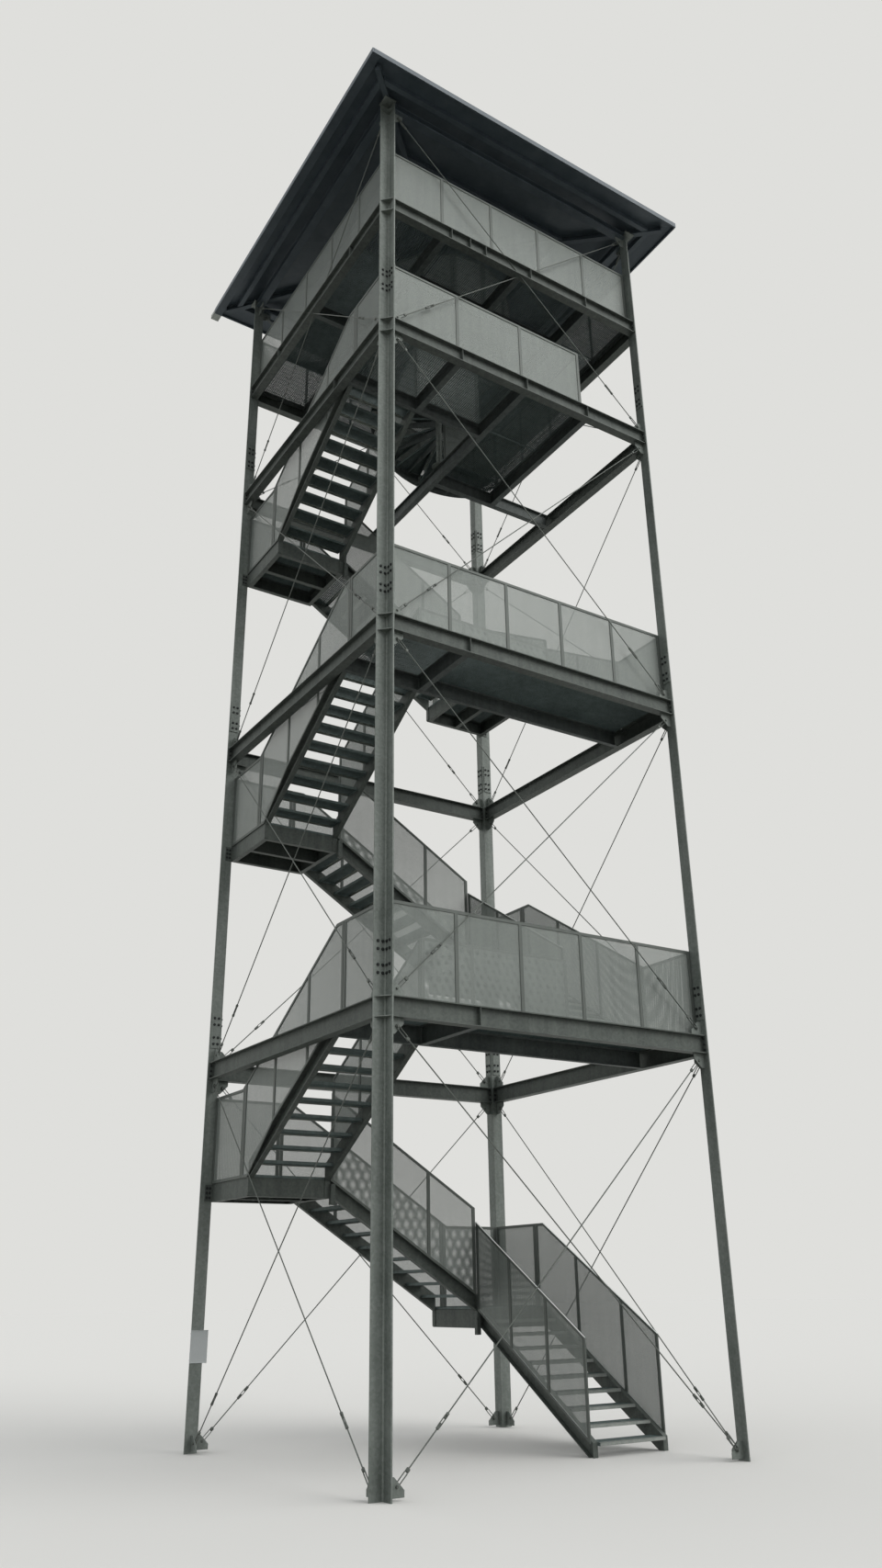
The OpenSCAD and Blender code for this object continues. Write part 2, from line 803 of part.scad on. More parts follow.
module roof_panels() {
    color(roof_grey) for (k = [0:3]) face(k) roof_panel();
}

module eaves_trim() {
    z0 = roof_base + panel_t - trim_h + 10;
    l = 2 * eaves + trim_t - 4;
    color(steel_grey) for (k = [0:3]) face(k) translate([2 - eaves, -eaves - trim_t, z0]) {
        cube([l, trim_t, trim_h]);
        // the left trim is the outer wall of a gutter
        if (k == 3) {
            cube([l - trim_t, gutter_w, gutter_t]);
            translate([0, gutter_w - gutter_t, 0]) cube([l - trim_t, gutter_t, trim_h * 0.45]);
        }
    }
}

column(0);  // column_front
column(1);  // column_right
column(2);  // column_back
column(3);  // column_left
column_fittings();
floor_beams(1);  // floor_beams_1
floor_beams(2);  // floor_beams_2
floor_beams(3);  // floor_beams_3
floor_beams(4);  // floor_beams_4
strip_joists(1);  // joists_1
strip_joists(2);  // joists_2
third_joists();  // joists_3
top_joists();  // joists_4
gratings(1);  // gratings_1
gratings(2);  // gratings_2
gratings(3);  // gratings_3
gratings(4);  // gratings_4
landing_frames();
stringers(1);  // stringers_1
stringers(2);  // stringers_2
stringers(3);  // stringers_3
treads(1);  // treads_1
treads(2);  // treads_2
treads(3);  // treads_3
outer_guards(1);  // outer_guards_1
outer_guards(2);  // outer_guards_2
outer_guards(3);  // outer_guards_3
inner_guards(1);  // inner_guards_1
inner_guards(2);  // inner_guards_2
inner_guards(3);  // inner_guards_3
strip_guards(1);  // deck_guards_1
strip_guards(2);  // deck_guards_2
third_guards();  // deck_guards_3
top_guards();  // deck_guards_4
newel_post();
winding_treads();
winding_guard();
roof_beams();
hip_rafters();
roof_panels();
eaves_trim();
bracing(0);  // bracing_front
bracing(1);  // bracing_right
bracing(2);  // bracing_back
bracing(3);  // bracing_left
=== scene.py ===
# %% [markdown]
# # A lookout tower of galvanised steel
# The tower is a square open frame. Three straight flights climb one storey, a winding stair reaches
# the top deck, and a low hipped roof covers it. The frame comes ready made, and this file dresses it:
# open gratings, perforated guards, bolts, rod pins, roof ribs, and a finish for every surface.

# %% The frame
import math
import bpy
from mathutils import Matrix, Vector


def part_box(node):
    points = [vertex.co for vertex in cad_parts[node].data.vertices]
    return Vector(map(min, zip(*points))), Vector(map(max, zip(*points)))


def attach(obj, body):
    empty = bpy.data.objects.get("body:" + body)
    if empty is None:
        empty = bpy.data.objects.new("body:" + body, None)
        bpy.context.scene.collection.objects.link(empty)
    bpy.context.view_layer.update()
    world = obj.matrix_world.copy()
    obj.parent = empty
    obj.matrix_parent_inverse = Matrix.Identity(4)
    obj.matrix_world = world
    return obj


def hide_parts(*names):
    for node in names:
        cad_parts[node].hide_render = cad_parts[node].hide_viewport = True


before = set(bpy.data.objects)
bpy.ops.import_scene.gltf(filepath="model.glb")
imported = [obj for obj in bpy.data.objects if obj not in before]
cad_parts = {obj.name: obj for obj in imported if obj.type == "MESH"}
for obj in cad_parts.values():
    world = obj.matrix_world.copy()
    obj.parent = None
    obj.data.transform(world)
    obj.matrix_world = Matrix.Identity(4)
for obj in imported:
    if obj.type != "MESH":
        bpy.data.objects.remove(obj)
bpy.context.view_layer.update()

# %% [markdown]
# ## Sizes
# A steel fabricator works from a few sizes: the distance between the column heels, the step of the
# stair and the profiles. The same few are named here in metres, and the rest follows from them.

# %% Named sizes
HALF = 2.5
STRIP = 1.25
INNER = HALF - STRIP
RISER = 0.173
STEPS = 10
FLIGHT = STEPS * RISER
STOREY = 3 * FLIGHT
WINDER = 0.177
WEDGES = 13
WALK = [0, STOREY, 2 * STOREY, 3 * STOREY, 3 * STOREY + (WEDGES + 1) * WINDER]
SLAB = 0.035
GOING = 2 * INNER / (STEPS - 1)
BEAM_H = 0.25
BEAM_OFF = 0.09
CHANNEL = 0.075
LEG_T = 0.018
PLATE_T = 0.012
FLAT_T = 0.005

# %% [markdown]
# A turn of 90 degrees about the tower's axis takes a piece of the front face to the next face. A flight
# stands on such a turned face and is lifted by the flights below it, so one matrix places it.

# %% Places
def turned(degrees):
    return Matrix.Rotation(math.radians(degrees), 4, "Z")


def moved(x, y, z):
    return Matrix.Translation((x, y, z))


def face(k):
    return turned(90 * k)


def climb(storey, k):
    return face(k) @ moved(0, 0, (storey - 1) * STOREY + k * FLIGHT)


def steel(level):
    return WALK[level] - SLAB


print("decks at", [round(z, 3) for z in WALK])

# %% [markdown]
# ## Tools for the hand
# Each piece starts from a primitive of the right size. An operator acts on all that is selected, so the
# one piece is selected first. Its size and place go into its mesh, because every finished object stands
# at the origin.

# %% Selecting and settling
def only_none():
    bpy.ops.object.select_all(action="DESELECT")


def only(*pieces):
    only_none()
    for piece in pieces:
        piece.select_set(True)
    bpy.context.view_layer.objects.active = pieces[0]


def settled(piece):
    only(piece)
    bpy.ops.object.transform_apply(location=True, rotation=True, scale=True)
    return piece


# %% [markdown]
# A small bevel breaks the sharp edges of a piece, so they catch the light as the edges of rolled and sawn
# steel do.

# %% Broken edges
def broken(piece, offset):
    bpy.ops.object.mode_set(mode="EDIT")
    bpy.ops.mesh.select_all(action="SELECT")
    bpy.ops.mesh.bevel(offset=offset, segments=1)
    bpy.ops.object.mode_set(mode="OBJECT")
    return piece


# %% [markdown]
# To shape only some corners or edges, the mesh is first deselected. They are then picked by their place, in
# object mode, and the operator runs back in edit mode.

# %% Picking by place
def unselected_mesh():
    bpy.ops.object.mode_set(mode="EDIT")
    bpy.ops.mesh.select_all(action="DESELECT")
    bpy.ops.object.mode_set(mode="OBJECT")


def raised(height):
    bpy.ops.object.mode_set(mode="EDIT")
    bpy.ops.transform.translate(value=(0, 0, height))
    bpy.ops.object.mode_set(mode="OBJECT")


# %% [markdown]
# Flat bar is the stuff of a grating, a rail or a cleat. A row of equal bars is one bar with an array.

# %% Bars and rows
def bar(size, at, turn=0.0, bevel=0.0):
    only_none()
    bpy.ops.mesh.primitive_cube_add(size=1, location=at, rotation=(0, 0, turn), scale=size)
    made = settled(bpy.context.object)
    return broken(made, bevel) if bevel else made


def row(size, first, count, step):
    made = bar(size, first)
    if count > 1:
        bpy.ops.object.modifier_add(type="ARRAY")
        array = made.modifiers[-1]
        array.use_relative_offset = False
        array.use_constant_offset = True
        array.constant_offset_displace = step
        array.count = count
        bpy.ops.object.modifier_apply(modifier=array.name)
    return made


# %% [markdown]
# What repeats is modelled once and copied. Each copy has its own mesh, moved to its place, and the
# copies are joined into one piece, as a welded or bolted set would be delivered.

# %% Copies and joints
def joined(name, pieces):
    only(*pieces)
    if len(pieces) > 1:
        bpy.ops.object.join()
    made = bpy.context.view_layer.objects.active
    made.name = made.data.name = name
    return made


def placed(name, pattern, places):
    twins = []
    for place in places:
        twin = pattern.copy()
        twin.data = pattern.data.copy()
        twin.data.transform(place)
        if place.determinant() < 0:
            twin.data.flip_normals()
        bpy.context.collection.objects.link(twin)
        twins.append(twin)
    bpy.data.objects.remove(pattern)
    return joined(name, twins)


def finished(piece, slot, material, *nodes):
    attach(piece, "root")
    if nodes:
        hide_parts(*nodes)
    piece.data.materials.clear()
    piece.data.materials.append(material)
    triangles = sum(len(p.vertices) - 2 for p in piece.data.polygons)
    print(piece.name, triangles, "triangles")


# %% [markdown]
# ## Colours and nodes
# A colour is written as the sRGB hex value that a paint chart gives. Blender computes in linear light, so
# one function turns it. Another small one adds a node with its settings and its links. A Mix node has
# sockets for numbers, vectors and colours, so the numbers of its two colours and its result are named.

# %% Colour and node helpers
MIX_A = 6
MIX_B = 7
MIX_OUT = 2


def linear(colour):
    channels = [int(colour[i:i + 2], 16) / 255 for i in (1, 3, 5)]
    return tuple(c / 12.92 if c <= 0.04045 else ((c + 0.055) / 1.055) ** 2.4 for c in channels) + (1,)


def add(tree, kind, inputs=None, **settings):
    made = tree.nodes.new(kind)
    for key, value in settings.items():
        setattr(made, key, value)
    for socket, value in (inputs or {}).items():
        if isinstance(value, bpy.types.NodeSocket):
            tree.links.new(value, made.inputs[socket])
        else:
            made.inputs[socket].default_value = value
    return made


def new_material(name):
    material = bpy.data.materials.new(name)
    material.use_nodes = True
    return material, material.node_tree, material.node_tree.nodes["Principled BSDF"]


# %% [markdown]
# ## Hot-dip galvanised steel
# The frame was dipped in molten zinc, which froze into crystals, the spangle. Years of weather turned it
# matt: a grey patina with paler and darker clouds, and faint streaks where water runs down. The patina
# scatters light like stone, so the metal shows only in part. The spangle is given in millimetres. One of
# 10 mm would vanish at this distance, so it is drawn at 12 to 30 mm, coarsest on the largest profiles.

# %% The zinc patina
def zinc_patina(name, light, dark, metallic, rough, spangle=30):
    material, tree, surface = new_material(name)
    place = add(tree, "ShaderNodeTexCoord").outputs["Object"]
    cells = add(tree, "ShaderNodeTexVoronoi", {"Vector": place, "Scale": 1000 / spangle})
    clouds = add(tree, "ShaderNodeTexNoise",
                 {"Vector": place, "Scale": 1.4, "Detail": 5, "Roughness": 0.6})
    long = add(tree, "ShaderNodeMapping", {"Vector": place, "Scale": (11, 11, 0.7)})
    streaks = add(tree, "ShaderNodeTexNoise", {"Vector": long.outputs[0], "Scale": 1, "Detail": 3})
    crystal = add(tree, "ShaderNodeSeparateColor", {"Color": cells.outputs["Color"]})
    total = add(tree, "ShaderNodeMath", {0: crystal.outputs[0], 1: 0.22}, operation="MULTIPLY")
    for layer, share in ((clouds, 0.95), (streaks, 0.65)):
        total = add(tree, "ShaderNodeMath", {0: layer.outputs[0], 1: share, 2: total.outputs[0]},
                    operation="MULTIPLY_ADD")
    tone = add(tree, "ShaderNodeMapRange", {"Value": total.outputs[0], "From Min": 0.55, "From Max": 1.25})
    mix = add(tree, "ShaderNodeMix", {"Factor": tone.outputs[0], MIX_A: linear(dark), MIX_B: linear(light)},
              data_type="RGBA")
    tree.links.new(mix.outputs[MIX_OUT], surface.inputs["Base Color"])
    shine = add(tree, "ShaderNodeMapRange",
                {"Value": clouds.outputs[0], "To Min": rough - 0.1, "To Max": rough + 0.12})
    tree.links.new(shine.outputs[0], surface.inputs["Roughness"])
    grain = add(tree, "ShaderNodeTexNoise", {"Vector": place, "Scale": 90, "Detail": 2})
    height = add(tree, "ShaderNodeBump", {"Height": grain.outputs[0], "Strength": 0.12, "Distance": 0.002})
    tree.links.new(height.outputs[0], surface.inputs["Normal"])
    surface.inputs["Metallic"].default_value = metallic
    return material


# %% Steel finishes
section_steel = zinc_patina("galvanised_steel_sections", "#949a94", "#666d67", 0.3, 0.56)
# Painted shade: the beams' zinc is painted darker than the columns' for the shade under their top flanges
# and the decks above.
beam_steel_painted_shade = zinc_patina("galvanised_steel_beams_painted_shade", "#6d736d", "#474d49", 0.3, 0.58)
# Painted shade: a darker zinc still, for the joists, wedge brackets and winding stringer that lie in the
# shade of the decks above.
painted_shade_steel = zinc_patina("galvanised_steel_painted_shade", "#6b716e", "#434a48", 0.3, 0.6)
grating_steel = zinc_patina("galvanised_bar_grating", "#7f8c89", "#525e5c", 0.35, 0.55, 18)
# Paler zinc for edges that feet wear, made paler still as a painted highlight.
edge_steel_wear_and_highlight = zinc_patina("galvanised_worn_edge_and_painted_highlight", "#b4b8b2", "#8d938e", 0.45, 0.42, 18)
rod_steel = zinc_patina("galvanised_round_bar", "#71766f", "#565b57", 0.35, 0.45, 18)
bolt_steel = zinc_patina("blackened_bolts", "#2e3231", "#1c1f1f", 0.3, 0.55, 12)

# %% [markdown]
# ## Perforated guard sheet
# The guards are galvanised sheets with round holes, held in flat-bar frames, so the sky shines through
# them and they look like frosted glass from afar. The holes aren't modelled: the sheet's own faces are let
# through in a staggered pattern of 8.4 mm holes, 12 mm apart. A sheet and its frame are one node, so the
# pattern must find the sheet. A flat face keeps one distance from the tower's axis, measured along its
# normal, and each sheet lies 8 to 12 mm inside its frame, which gives the distances below. The frame is a
# darker zinc, and the faces of the frame that look up are painted paler, a painted highlight of the light
# from above.

# %% Where the sheets lie
INSET = 0.01
WELL_GUARD_R = 1.335
SHEETS = [INSET, INNER - INSET, INNER + INSET, WELL_GUARD_R + INSET, HALF + INSET]

# %% [markdown]
# The holes stand in a staggered grid: one upright grid of cells, and a second one moved by half a cell both
# ways. A cell is one hole wide and two rows high, and a point is open where it is near a cell's middle.

# %% Holes in staggered rows
HOLE_ACROSS = 0.012
HOLE_ROWS = 0.0208
HOLE_R = 0.0042


def hole_pattern(tree, across, up):
    flat = add(tree, "ShaderNodeCombineXYZ", {"X": across, "Y": up})
    cells_per_metre = (1 / HOLE_ACROSS, 1 / HOLE_ROWS, 1)
    grids = []
    for shift in ((0, 0, 0), (0.5, 0.5, 0)):
        grid = add(tree, "ShaderNodeMapping",
                   {"Vector": flat.outputs[0], "Location": shift, "Scale": cells_per_metre})
        cell = add(tree, "ShaderNodeVectorMath", {0: grid.outputs[0]}, operation="FRACTION")
        middle = add(tree, "ShaderNodeVectorMath", {0: cell.outputs[0], 1: (0.5, 0.5, 0)},
                     operation="SUBTRACT")
        sized = add(tree, "ShaderNodeVectorMath", {0: middle.outputs[0], 1: (HOLE_ACROSS, HOLE_ROWS, 0)},
                    operation="MULTIPLY")
        away = add(tree, "ShaderNodeVectorMath", {0: sized.outputs[0]}, operation="LENGTH")
        hole = add(tree, "ShaderNodeMath", {0: away.outputs["Value"], 1: HOLE_R}, operation="LESS_THAN")
        grids.append(hole.outputs[0])
    return add(tree, "ShaderNodeMath", {0: grids[0], 1: grids[1]}, operation="MAXIMUM").outputs[0]


def pierced(tree, holes):
    solid = add(tree, "ShaderNodeMath", {0: 1.0, 1: holes}, operation="SUBTRACT")
    tree.links.new(solid.outputs[0], tree.nodes["Principled BSDF"].inputs["Alpha"])


# %% [markdown]
# A face belongs to a sheet when its distance is one of those above, give or take half the sheet's 4 mm,
# and when it stands upright. There the holes open it. All else in the node is frame: its tone is the zinc
# times a grey, and where it looks up it is painted paler, a painted highlight of the light from above.

# %% The guard finish
SKIN_OFF = 0.0022
SKIN_SPREAD = 0.0012
SHEET_LIGHT = "#9ea49e"
SHEET_DARK = "#8d938e"


def guard_finish():
    material = zinc_patina("galvanised_perforated_guard", SHEET_LIGHT, SHEET_DARK, 0.3, 0.5, 24)
    tree = material.node_tree
    base_colour = tree.nodes["Principled BSDF"].inputs["Base Color"]
    place = add(tree, "ShaderNodeTexCoord").outputs["Object"]
    normal = add(tree, "ShaderNodeNewGeometry").outputs["Normal"]
    reach = add(tree, "ShaderNodeVectorMath", {0: place, 1: normal}, operation="DOT_PRODUCT")
    far = add(tree, "ShaderNodeMath", {0: reach.outputs["Value"]}, operation="ABSOLUTE")
    found = []
    for distance in SHEETS:
        off = add(tree, "ShaderNodeMath", {0: far.outputs[0], 1: distance}, operation="SUBTRACT")
        size = add(tree, "ShaderNodeMath", {0: off.outputs[0]}, operation="ABSOLUTE")
        skin = add(tree, "ShaderNodeMath", {0: size.outputs[0], 1: SKIN_OFF, 2: SKIN_SPREAD},
                   operation="COMPARE")
        found.append(skin.outputs[0])
    on_sheet = found[0]
    for other in found[1:]:
        on_sheet = add(tree, "ShaderNodeMath", {0: on_sheet, 1: other}, operation="MAXIMUM").outputs[0]
    upright = add(tree, "ShaderNodeSeparateXYZ", {0: normal}).outputs["Z"]
    level = add(tree, "ShaderNodeMath", {0: upright, 1: 0.0, 2: 0.1}, operation="COMPARE")
    sheet = add(tree, "ShaderNodeMath", {0: on_sheet, 1: level.outputs[0]}, operation="MULTIPLY")
    along = add(tree, "ShaderNodeVectorMath", {0: normal, 1: (0, 0, 1)}, operation="CROSS_PRODUCT")
    across = add(tree, "ShaderNodeVectorMath", {0: place, 1: along.outputs[0]}, operation="DOT_PRODUCT")
    up = add(tree, "ShaderNodeSeparateXYZ", {0: place}).outputs["Z"]
    holes = hole_pattern(tree, across.outputs["Value"], up)
    open_here = add(tree, "ShaderNodeMath", {0: holes, 1: sheet.outputs[0]}, operation="MULTIPLY")
    pierced(tree, open_here.outputs[0])
    zinc = base_colour.links[0].from_socket
    frame_tone = add(tree, "ShaderNodeMix", {"Factor": 1.0, MIX_A: zinc, MIX_B: linear("#adafad")},
                     data_type="RGBA", blend_type="MULTIPLY").outputs[MIX_OUT]
    # Painted highlight: faces of the frame that look up are painted paler, towards #d2d6d2.
    painted_highlight_mask = add(tree, "ShaderNodeMapRange", {"Value": upright, "From Min": 0.4, "From Max": 0.8})
    frame_painted_highlight = add(tree, "ShaderNodeMix", {"Factor": painted_highlight_mask.outputs[0], MIX_A: frame_tone,
                                         MIX_B: linear("#d2d6d2")}, data_type="RGBA").outputs[MIX_OUT]
    either = add(tree, "ShaderNodeMix", {"Factor": sheet.outputs[0], MIX_A: frame_painted_highlight, MIX_B: zinc},
                 data_type="RGBA").outputs[MIX_OUT]
    tree.links.new(either, base_colour)
    return material


guard_steel = guard_finish()

# %% [markdown]
# The winding stair's guard is a piece of its own, rolled to a round, so its holes follow the arc.

# %% The curved guard's finish
def round_guard_finish():
    material = zinc_patina("galvanised_perforated_curved_guard", SHEET_LIGHT, SHEET_DARK, 0.3, 0.5, 24)
    tree = material.node_tree
    place = add(tree, "ShaderNodeTexCoord").outputs["Object"]
    spread = add(tree, "ShaderNodeSeparateXYZ", {0: place})
    turn = add(tree, "ShaderNodeMath", {0: spread.outputs["Y"], 1: spread.outputs["X"]},
               operation="ARCTAN2")
    around = add(tree, "ShaderNodeMath", {0: turn.outputs[0], 1: INNER}, operation="MULTIPLY")
    pierced(tree, hole_pattern(tree, around.outputs[0], spread.outputs["Z"]))
    return material


round_guard_steel = round_guard_finish()

# %% [markdown]
# ## Coated roof sheet
# The roof is steel sheet with a dark blue-grey polyester coat, a little glossier than the zinc. Dust and
# rain leave faint clouds on it. The steel under the eaves has the same coat, painted slightly darker as
# painted shade for the shade under the roof, and the information plate a pale enamel.

# %% The roof coat
def coated_sheet(name, colour, faded, rough):
    material, tree, surface = new_material(name)
    place = add(tree, "ShaderNodeTexCoord").outputs["Object"]
    clouds = add(tree, "ShaderNodeTexNoise",
                 {"Vector": place, "Scale": 2.2, "Detail": 6, "Roughness": 0.62})
    tone = add(tree, "ShaderNodeMapRange", {"Value": clouds.outputs[0], "From Min": 0.35, "From Max": 0.7})
    mix = add(tree, "ShaderNodeMix",
              {"Factor": tone.outputs[0], MIX_A: linear(colour), MIX_B: linear(faded)}, data_type="RGBA")
    tree.links.new(mix.outputs[MIX_OUT], surface.inputs["Base Color"])
    shine = add(tree, "ShaderNodeMapRange",
                {"Value": clouds.outputs[0], "To Min": rough - 0.08, "To Max": rough + 0.1})
    tree.links.new(shine.outputs[0], surface.inputs["Roughness"])
    return material


roof_coat = coated_sheet("polyester_coated_roof_sheet", "#616d76", "#77828a", 0.45)
# Painted shade: the eaves steel is the roof coat painted darker for the shade under the roof.
eaves_coat_painted_shade = coated_sheet("polyester_coated_eaves_steel_painted_shade", "#5c676f", "#727d84", 0.5)
plate_coat = coated_sheet("enamelled_information_plate", "#d3d8d5", "#e0e3e1", 0.35)

# %% Finishes for the ready-made nodes
for name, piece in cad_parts.items():
    finish = section_steel
    if "guard" in name:
        finish = guard_steel
    # Beams, landing frames and stringers take the zinc painted darker as painted shade.
    elif name.startswith(("floor_beams", "landing_frames", "stringers")):
        finish = beam_steel_painted_shade
    # Joists take the zinc with the deepest painted shade.
    elif name.startswith("joists"):
        finish = painted_shade_steel
    elif name.startswith("bracing"):
        finish = rod_steel
    elif name == "roof_panels":
        finish = roof_coat
    # The roof's beams, rafters and trim take the coat painted darker as painted shade.
    elif name in ("roof_beams", "hip_rafters", "eaves_trim"):
        finish = eaves_coat_painted_shade
    for material_slot in piece.material_slots:
        material_slot.material = finish

# %% [markdown]
# ## Bar grating
# The decks are welded grating: bearing bars on edge, 34 mm apart, span from the inner channel to the outer
# seat, and thin cross rods tie them at the top. A flat bar closes each end. One bar and an array make each
# set, so a panel is three rows.

# %% A grating panel
BAR_T = 0.004
BAR_H = 0.03
PITCH = 0.034
TIE = 0.006
TIE_PITCH = 0.1


def panel(x0, x1, y0, y1, top):
    wide, deep = x1 - x0, y1 - y0
    gaps = round(wide / PITCH)
    ties = round(deep / TIE_PITCH)
    middle_x, middle_y = (x0 + x1) / 2, (y0 + y1) / 2
    bearing = row((BAR_T, deep - 2 * BAR_T, BAR_H), (x0 + BAR_T / 2, middle_y, top - BAR_H / 2),
                  gaps + 1, ((wide - BAR_T) / gaps, 0, 0))
    rods = row((wide, TIE, TIE), (middle_x, y0 + deep / ties / 2, top - TIE / 2), ties, (0, deep / ties, 0))
    ends = row((wide, BAR_T, SLAB), (middle_x, y0 + BAR_T / 2, top - SLAB / 2), 2, (0, deep - BAR_T, 0))
    return [bearing, rods, ends]


# %% [markdown]
# Round the newel and the stairwell the bars stop at a circle. Each bar there is cut to its own length.

# %% A panel cut by a circle
SHORTEST = 0.02


def outside(at, low, high, r):
    if abs(at) >= r:
        return [(low, high)]
    half_chord = math.sqrt(r * r - at * at)
    spans = [(low, -half_chord), (half_chord, high)]
    return [(a, b) for a, b in spans if b - a > SHORTEST and a >= low - 1e-6]


def cut_panel(x0, x1, y0, y1, top, r):
    made = []
    gaps = round((x1 - x0) / PITCH)
    for i in range(gaps + 1):
        x = x0 + BAR_T / 2 + (x1 - x0 - BAR_T) * i / gaps
        for a, b in outside(x, y0, y1, r):
            made.append(bar((BAR_T, b - a, BAR_H), (x, (a + b) / 2, top - BAR_H / 2)))
    ties = round((y1 - y0) / TIE_PITCH)
    for i in range(ties):
        y = y0 + (y1 - y0) * (i + 0.5) / ties
        for a, b in outside(y, x0, x1, r):
            made.append(bar((b - a, TIE, TIE), ((a + b) / 2, y, top - TIE / 2)))
    return made


# %% [markdown]
# Panels are as wide as a flight, with 3 mm of play on each side. A landing is one panel between the columns
# and the well. On deck 3 the last panel is a stub that goes round the newel.

# %% Decks and landings
GAP = 0.003
STUB_END = 0.19
NEWEL_HOLE = 0.145


def landing_panels(storey):
    low, high = INNER + 2 * GAP, HALF - 0.001
    pattern = joined("landing", panel(low, high, low, high, FLIGHT))
    return [placed("landing", pattern, [climb(storey, k) for k in (0, 1)])]


def strip_panels(level, count, inner_edge):
    starts = [-HALF + i * STRIP for i in range(count)]
    return [part for x in starts
            for part in panel(x + GAP, x + STRIP - GAP, -HALF, inner_edge - GAP, WALK[level])]


for level in (1, 2):
    deck = joined(f"bar_grating_{level}", strip_panels(level, 4, -INNER) + landing_panels(level))
    finished(deck, "grating", grating_steel, f"gratings_{level}")
stub = cut_panel(GAP, INNER - GAP, -INNER + GAP, STUB_END - GAP, WALK[3], NEWEL_HOLE)
deck = joined("bar_grating_3", strip_panels(3, 3, -INNER) + stub + landing_panels(3))
finished(deck, "grating", grating_steel, "gratings_3")

# %% [markdown]
# The top deck runs all round. The front and the back have full strips of panels, and shorter strips join
# them at the sides. Four more panels are cut by the round stairwell, and a curved flat bar closes their
# ends. The head of the winding stair is a wedge of grating.

# %% The top deck
TRIMMER = 1.5
WELL_R = 1.33


def ring(r, thick, height, z):
    only_none()
    bpy.ops.mesh.primitive_cylinder_add(vertices=96, radius=r, depth=height, end_fill_type="NOTHING",
                                        location=(0, 0, z))
    made = settled(bpy.context.object)
    bpy.ops.object.modifier_add(type="SOLIDIFY")
    made.modifiers[-1].thickness = thick
    made.modifiers[-1].offset = 1
    bpy.ops.object.modifier_apply(modifier=made.modifiers[-1].name)
    return made


pieces = []
for k in (0, 2):
    long = joined("strip", strip_panels(4, 4, -TRIMMER))
    pieces.append(placed("strip", long, [face(k)]))
    short = joined("strip", [part for x in (-TRIMMER, 0) for part in panel(
        x + GAP, x + TRIMMER - GAP, -HALF, -TRIMMER - GAP, WALK[4])])
    pieces.append(placed("strip", short, [face(k + 1)]))
corner = joined("corner", cut_panel(GAP, TRIMMER - GAP, GAP, TRIMMER - GAP, WALK[4], WELL_R))
pieces.append(placed("corner", corner, [face(k) for k in range(4)]))
pieces.append(ring(WELL_R, FLAT_T, SLAB, WALK[4] - SLAB / 2))

# %% [markdown]
# ## Wedge treads
# A wedge tread is a frame of flat bars round bearing bars that run across it. Its outer end follows the
# guard, so that bar is a small rectangle spun about the newel. The front edge carries a wider plate, worn
# bright by shoes, and its paleness is in part a painted highlight.

# %% A wedge of grating
def arc_bar(r, thick, height, half_angle, top):
    only_none()
    start = math.radians(-half_angle)
    bpy.ops.mesh.primitive_plane_add(size=1)
    made = bpy.context.object
    made.scale = (thick, height, 1)
    made.rotation_euler = (math.pi / 2, 0, start)
    made.location = ((r - thick / 2) * math.cos(start), (r - thick / 2) * math.sin(start), top - height / 2)
    settled(made)
    bpy.ops.object.mode_set(mode="EDIT")
    bpy.ops.mesh.select_all(action="SELECT")
    bpy.ops.mesh.spin(steps=6, angle=math.radians(2 * half_angle), center=(0, 0, 0), axis=(0, 0, 1))
    bpy.ops.mesh.select_all(action="SELECT")
    bpy.ops.mesh.normals_make_consistent(inside=False)
    bpy.ops.object.mode_set(mode="OBJECT")
    return made


def wedge(r0, r1, half_angle, height, top):
    tangent = math.tan(math.radians(half_angle))
    made = [arc_bar(r1, FLAT_T, height, half_angle, top)]
    gaps = round((r1 - r0) / PITCH)
    straight_end = r1 * math.cos(math.radians(half_angle)) - 0.01
    for i in range(1, gaps):
        x = r0 + (r1 - r0) * i / gaps
        if x < straight_end:
            made.append(bar((BAR_T, 2 * x * tangent - BAR_T, BAR_H), (x, 0, top - BAR_H / 2)))
    for y in (-TIE_PITCH, 0, TIE_PITCH):
        a, b = max(r0, abs(y) / tangent) + BAR_T, math.sqrt(r1 * r1 - y * y) - FLAT_T
        made.append(bar((b - a, TIE, TIE), ((a + b) / 2, y, top - TIE / 2)))
    middle = (r0 + r1) / 2
    for s in (-1, 1):
        turn = s * math.radians(half_angle)
        at_side = (middle * math.cos(turn), middle * math.sin(turn), top - height / 2)
        made.append(bar((r1 - r0, FLAT_T, height), at_side, turn))
    return made


# %% [markdown]
# The stair turns by 25 degrees a wedge. The last 35 degrees of the circle are its head, level with the deck.

# %% Head and treads of the winding stair
WEDGE = 25
TREAD_T = 0.04
HEAD_ANGLE = 360 - WEDGES * WEDGE
HEAD_R0 = 0.062
TREAD_R0 = 0.058
TREAD_R1 = 1.232
head = joined("head", wedge(HEAD_R0, WELL_R - 0.006, HEAD_ANGLE / 2, SLAB, WALK[4]))
pieces.append(placed("head", head, [turned(360 - HEAD_ANGLE / 2)]))
finished(joined("bar_grating_4", pieces), "grating", grating_steel, "gratings_4")
tread_places = [turned((i - 0.5) * WEDGE) @ moved(0, 0, WALK[3] + i * WINDER) for i in range(1, WEDGES + 1)]
tread = joined("wedge", wedge(TREAD_R0, TREAD_R1, WEDGE / 2, TREAD_T, 0))
finished(placed("wedge_treads", tread, tread_places), "grating", grating_steel, "winding_treads")

# %% [markdown]
# The newel is a slim round tube. A low sleeve at each wedge carries the tread, so the post is faintly
# ringed. It stands on a round base plate, and a low dome closes its top.

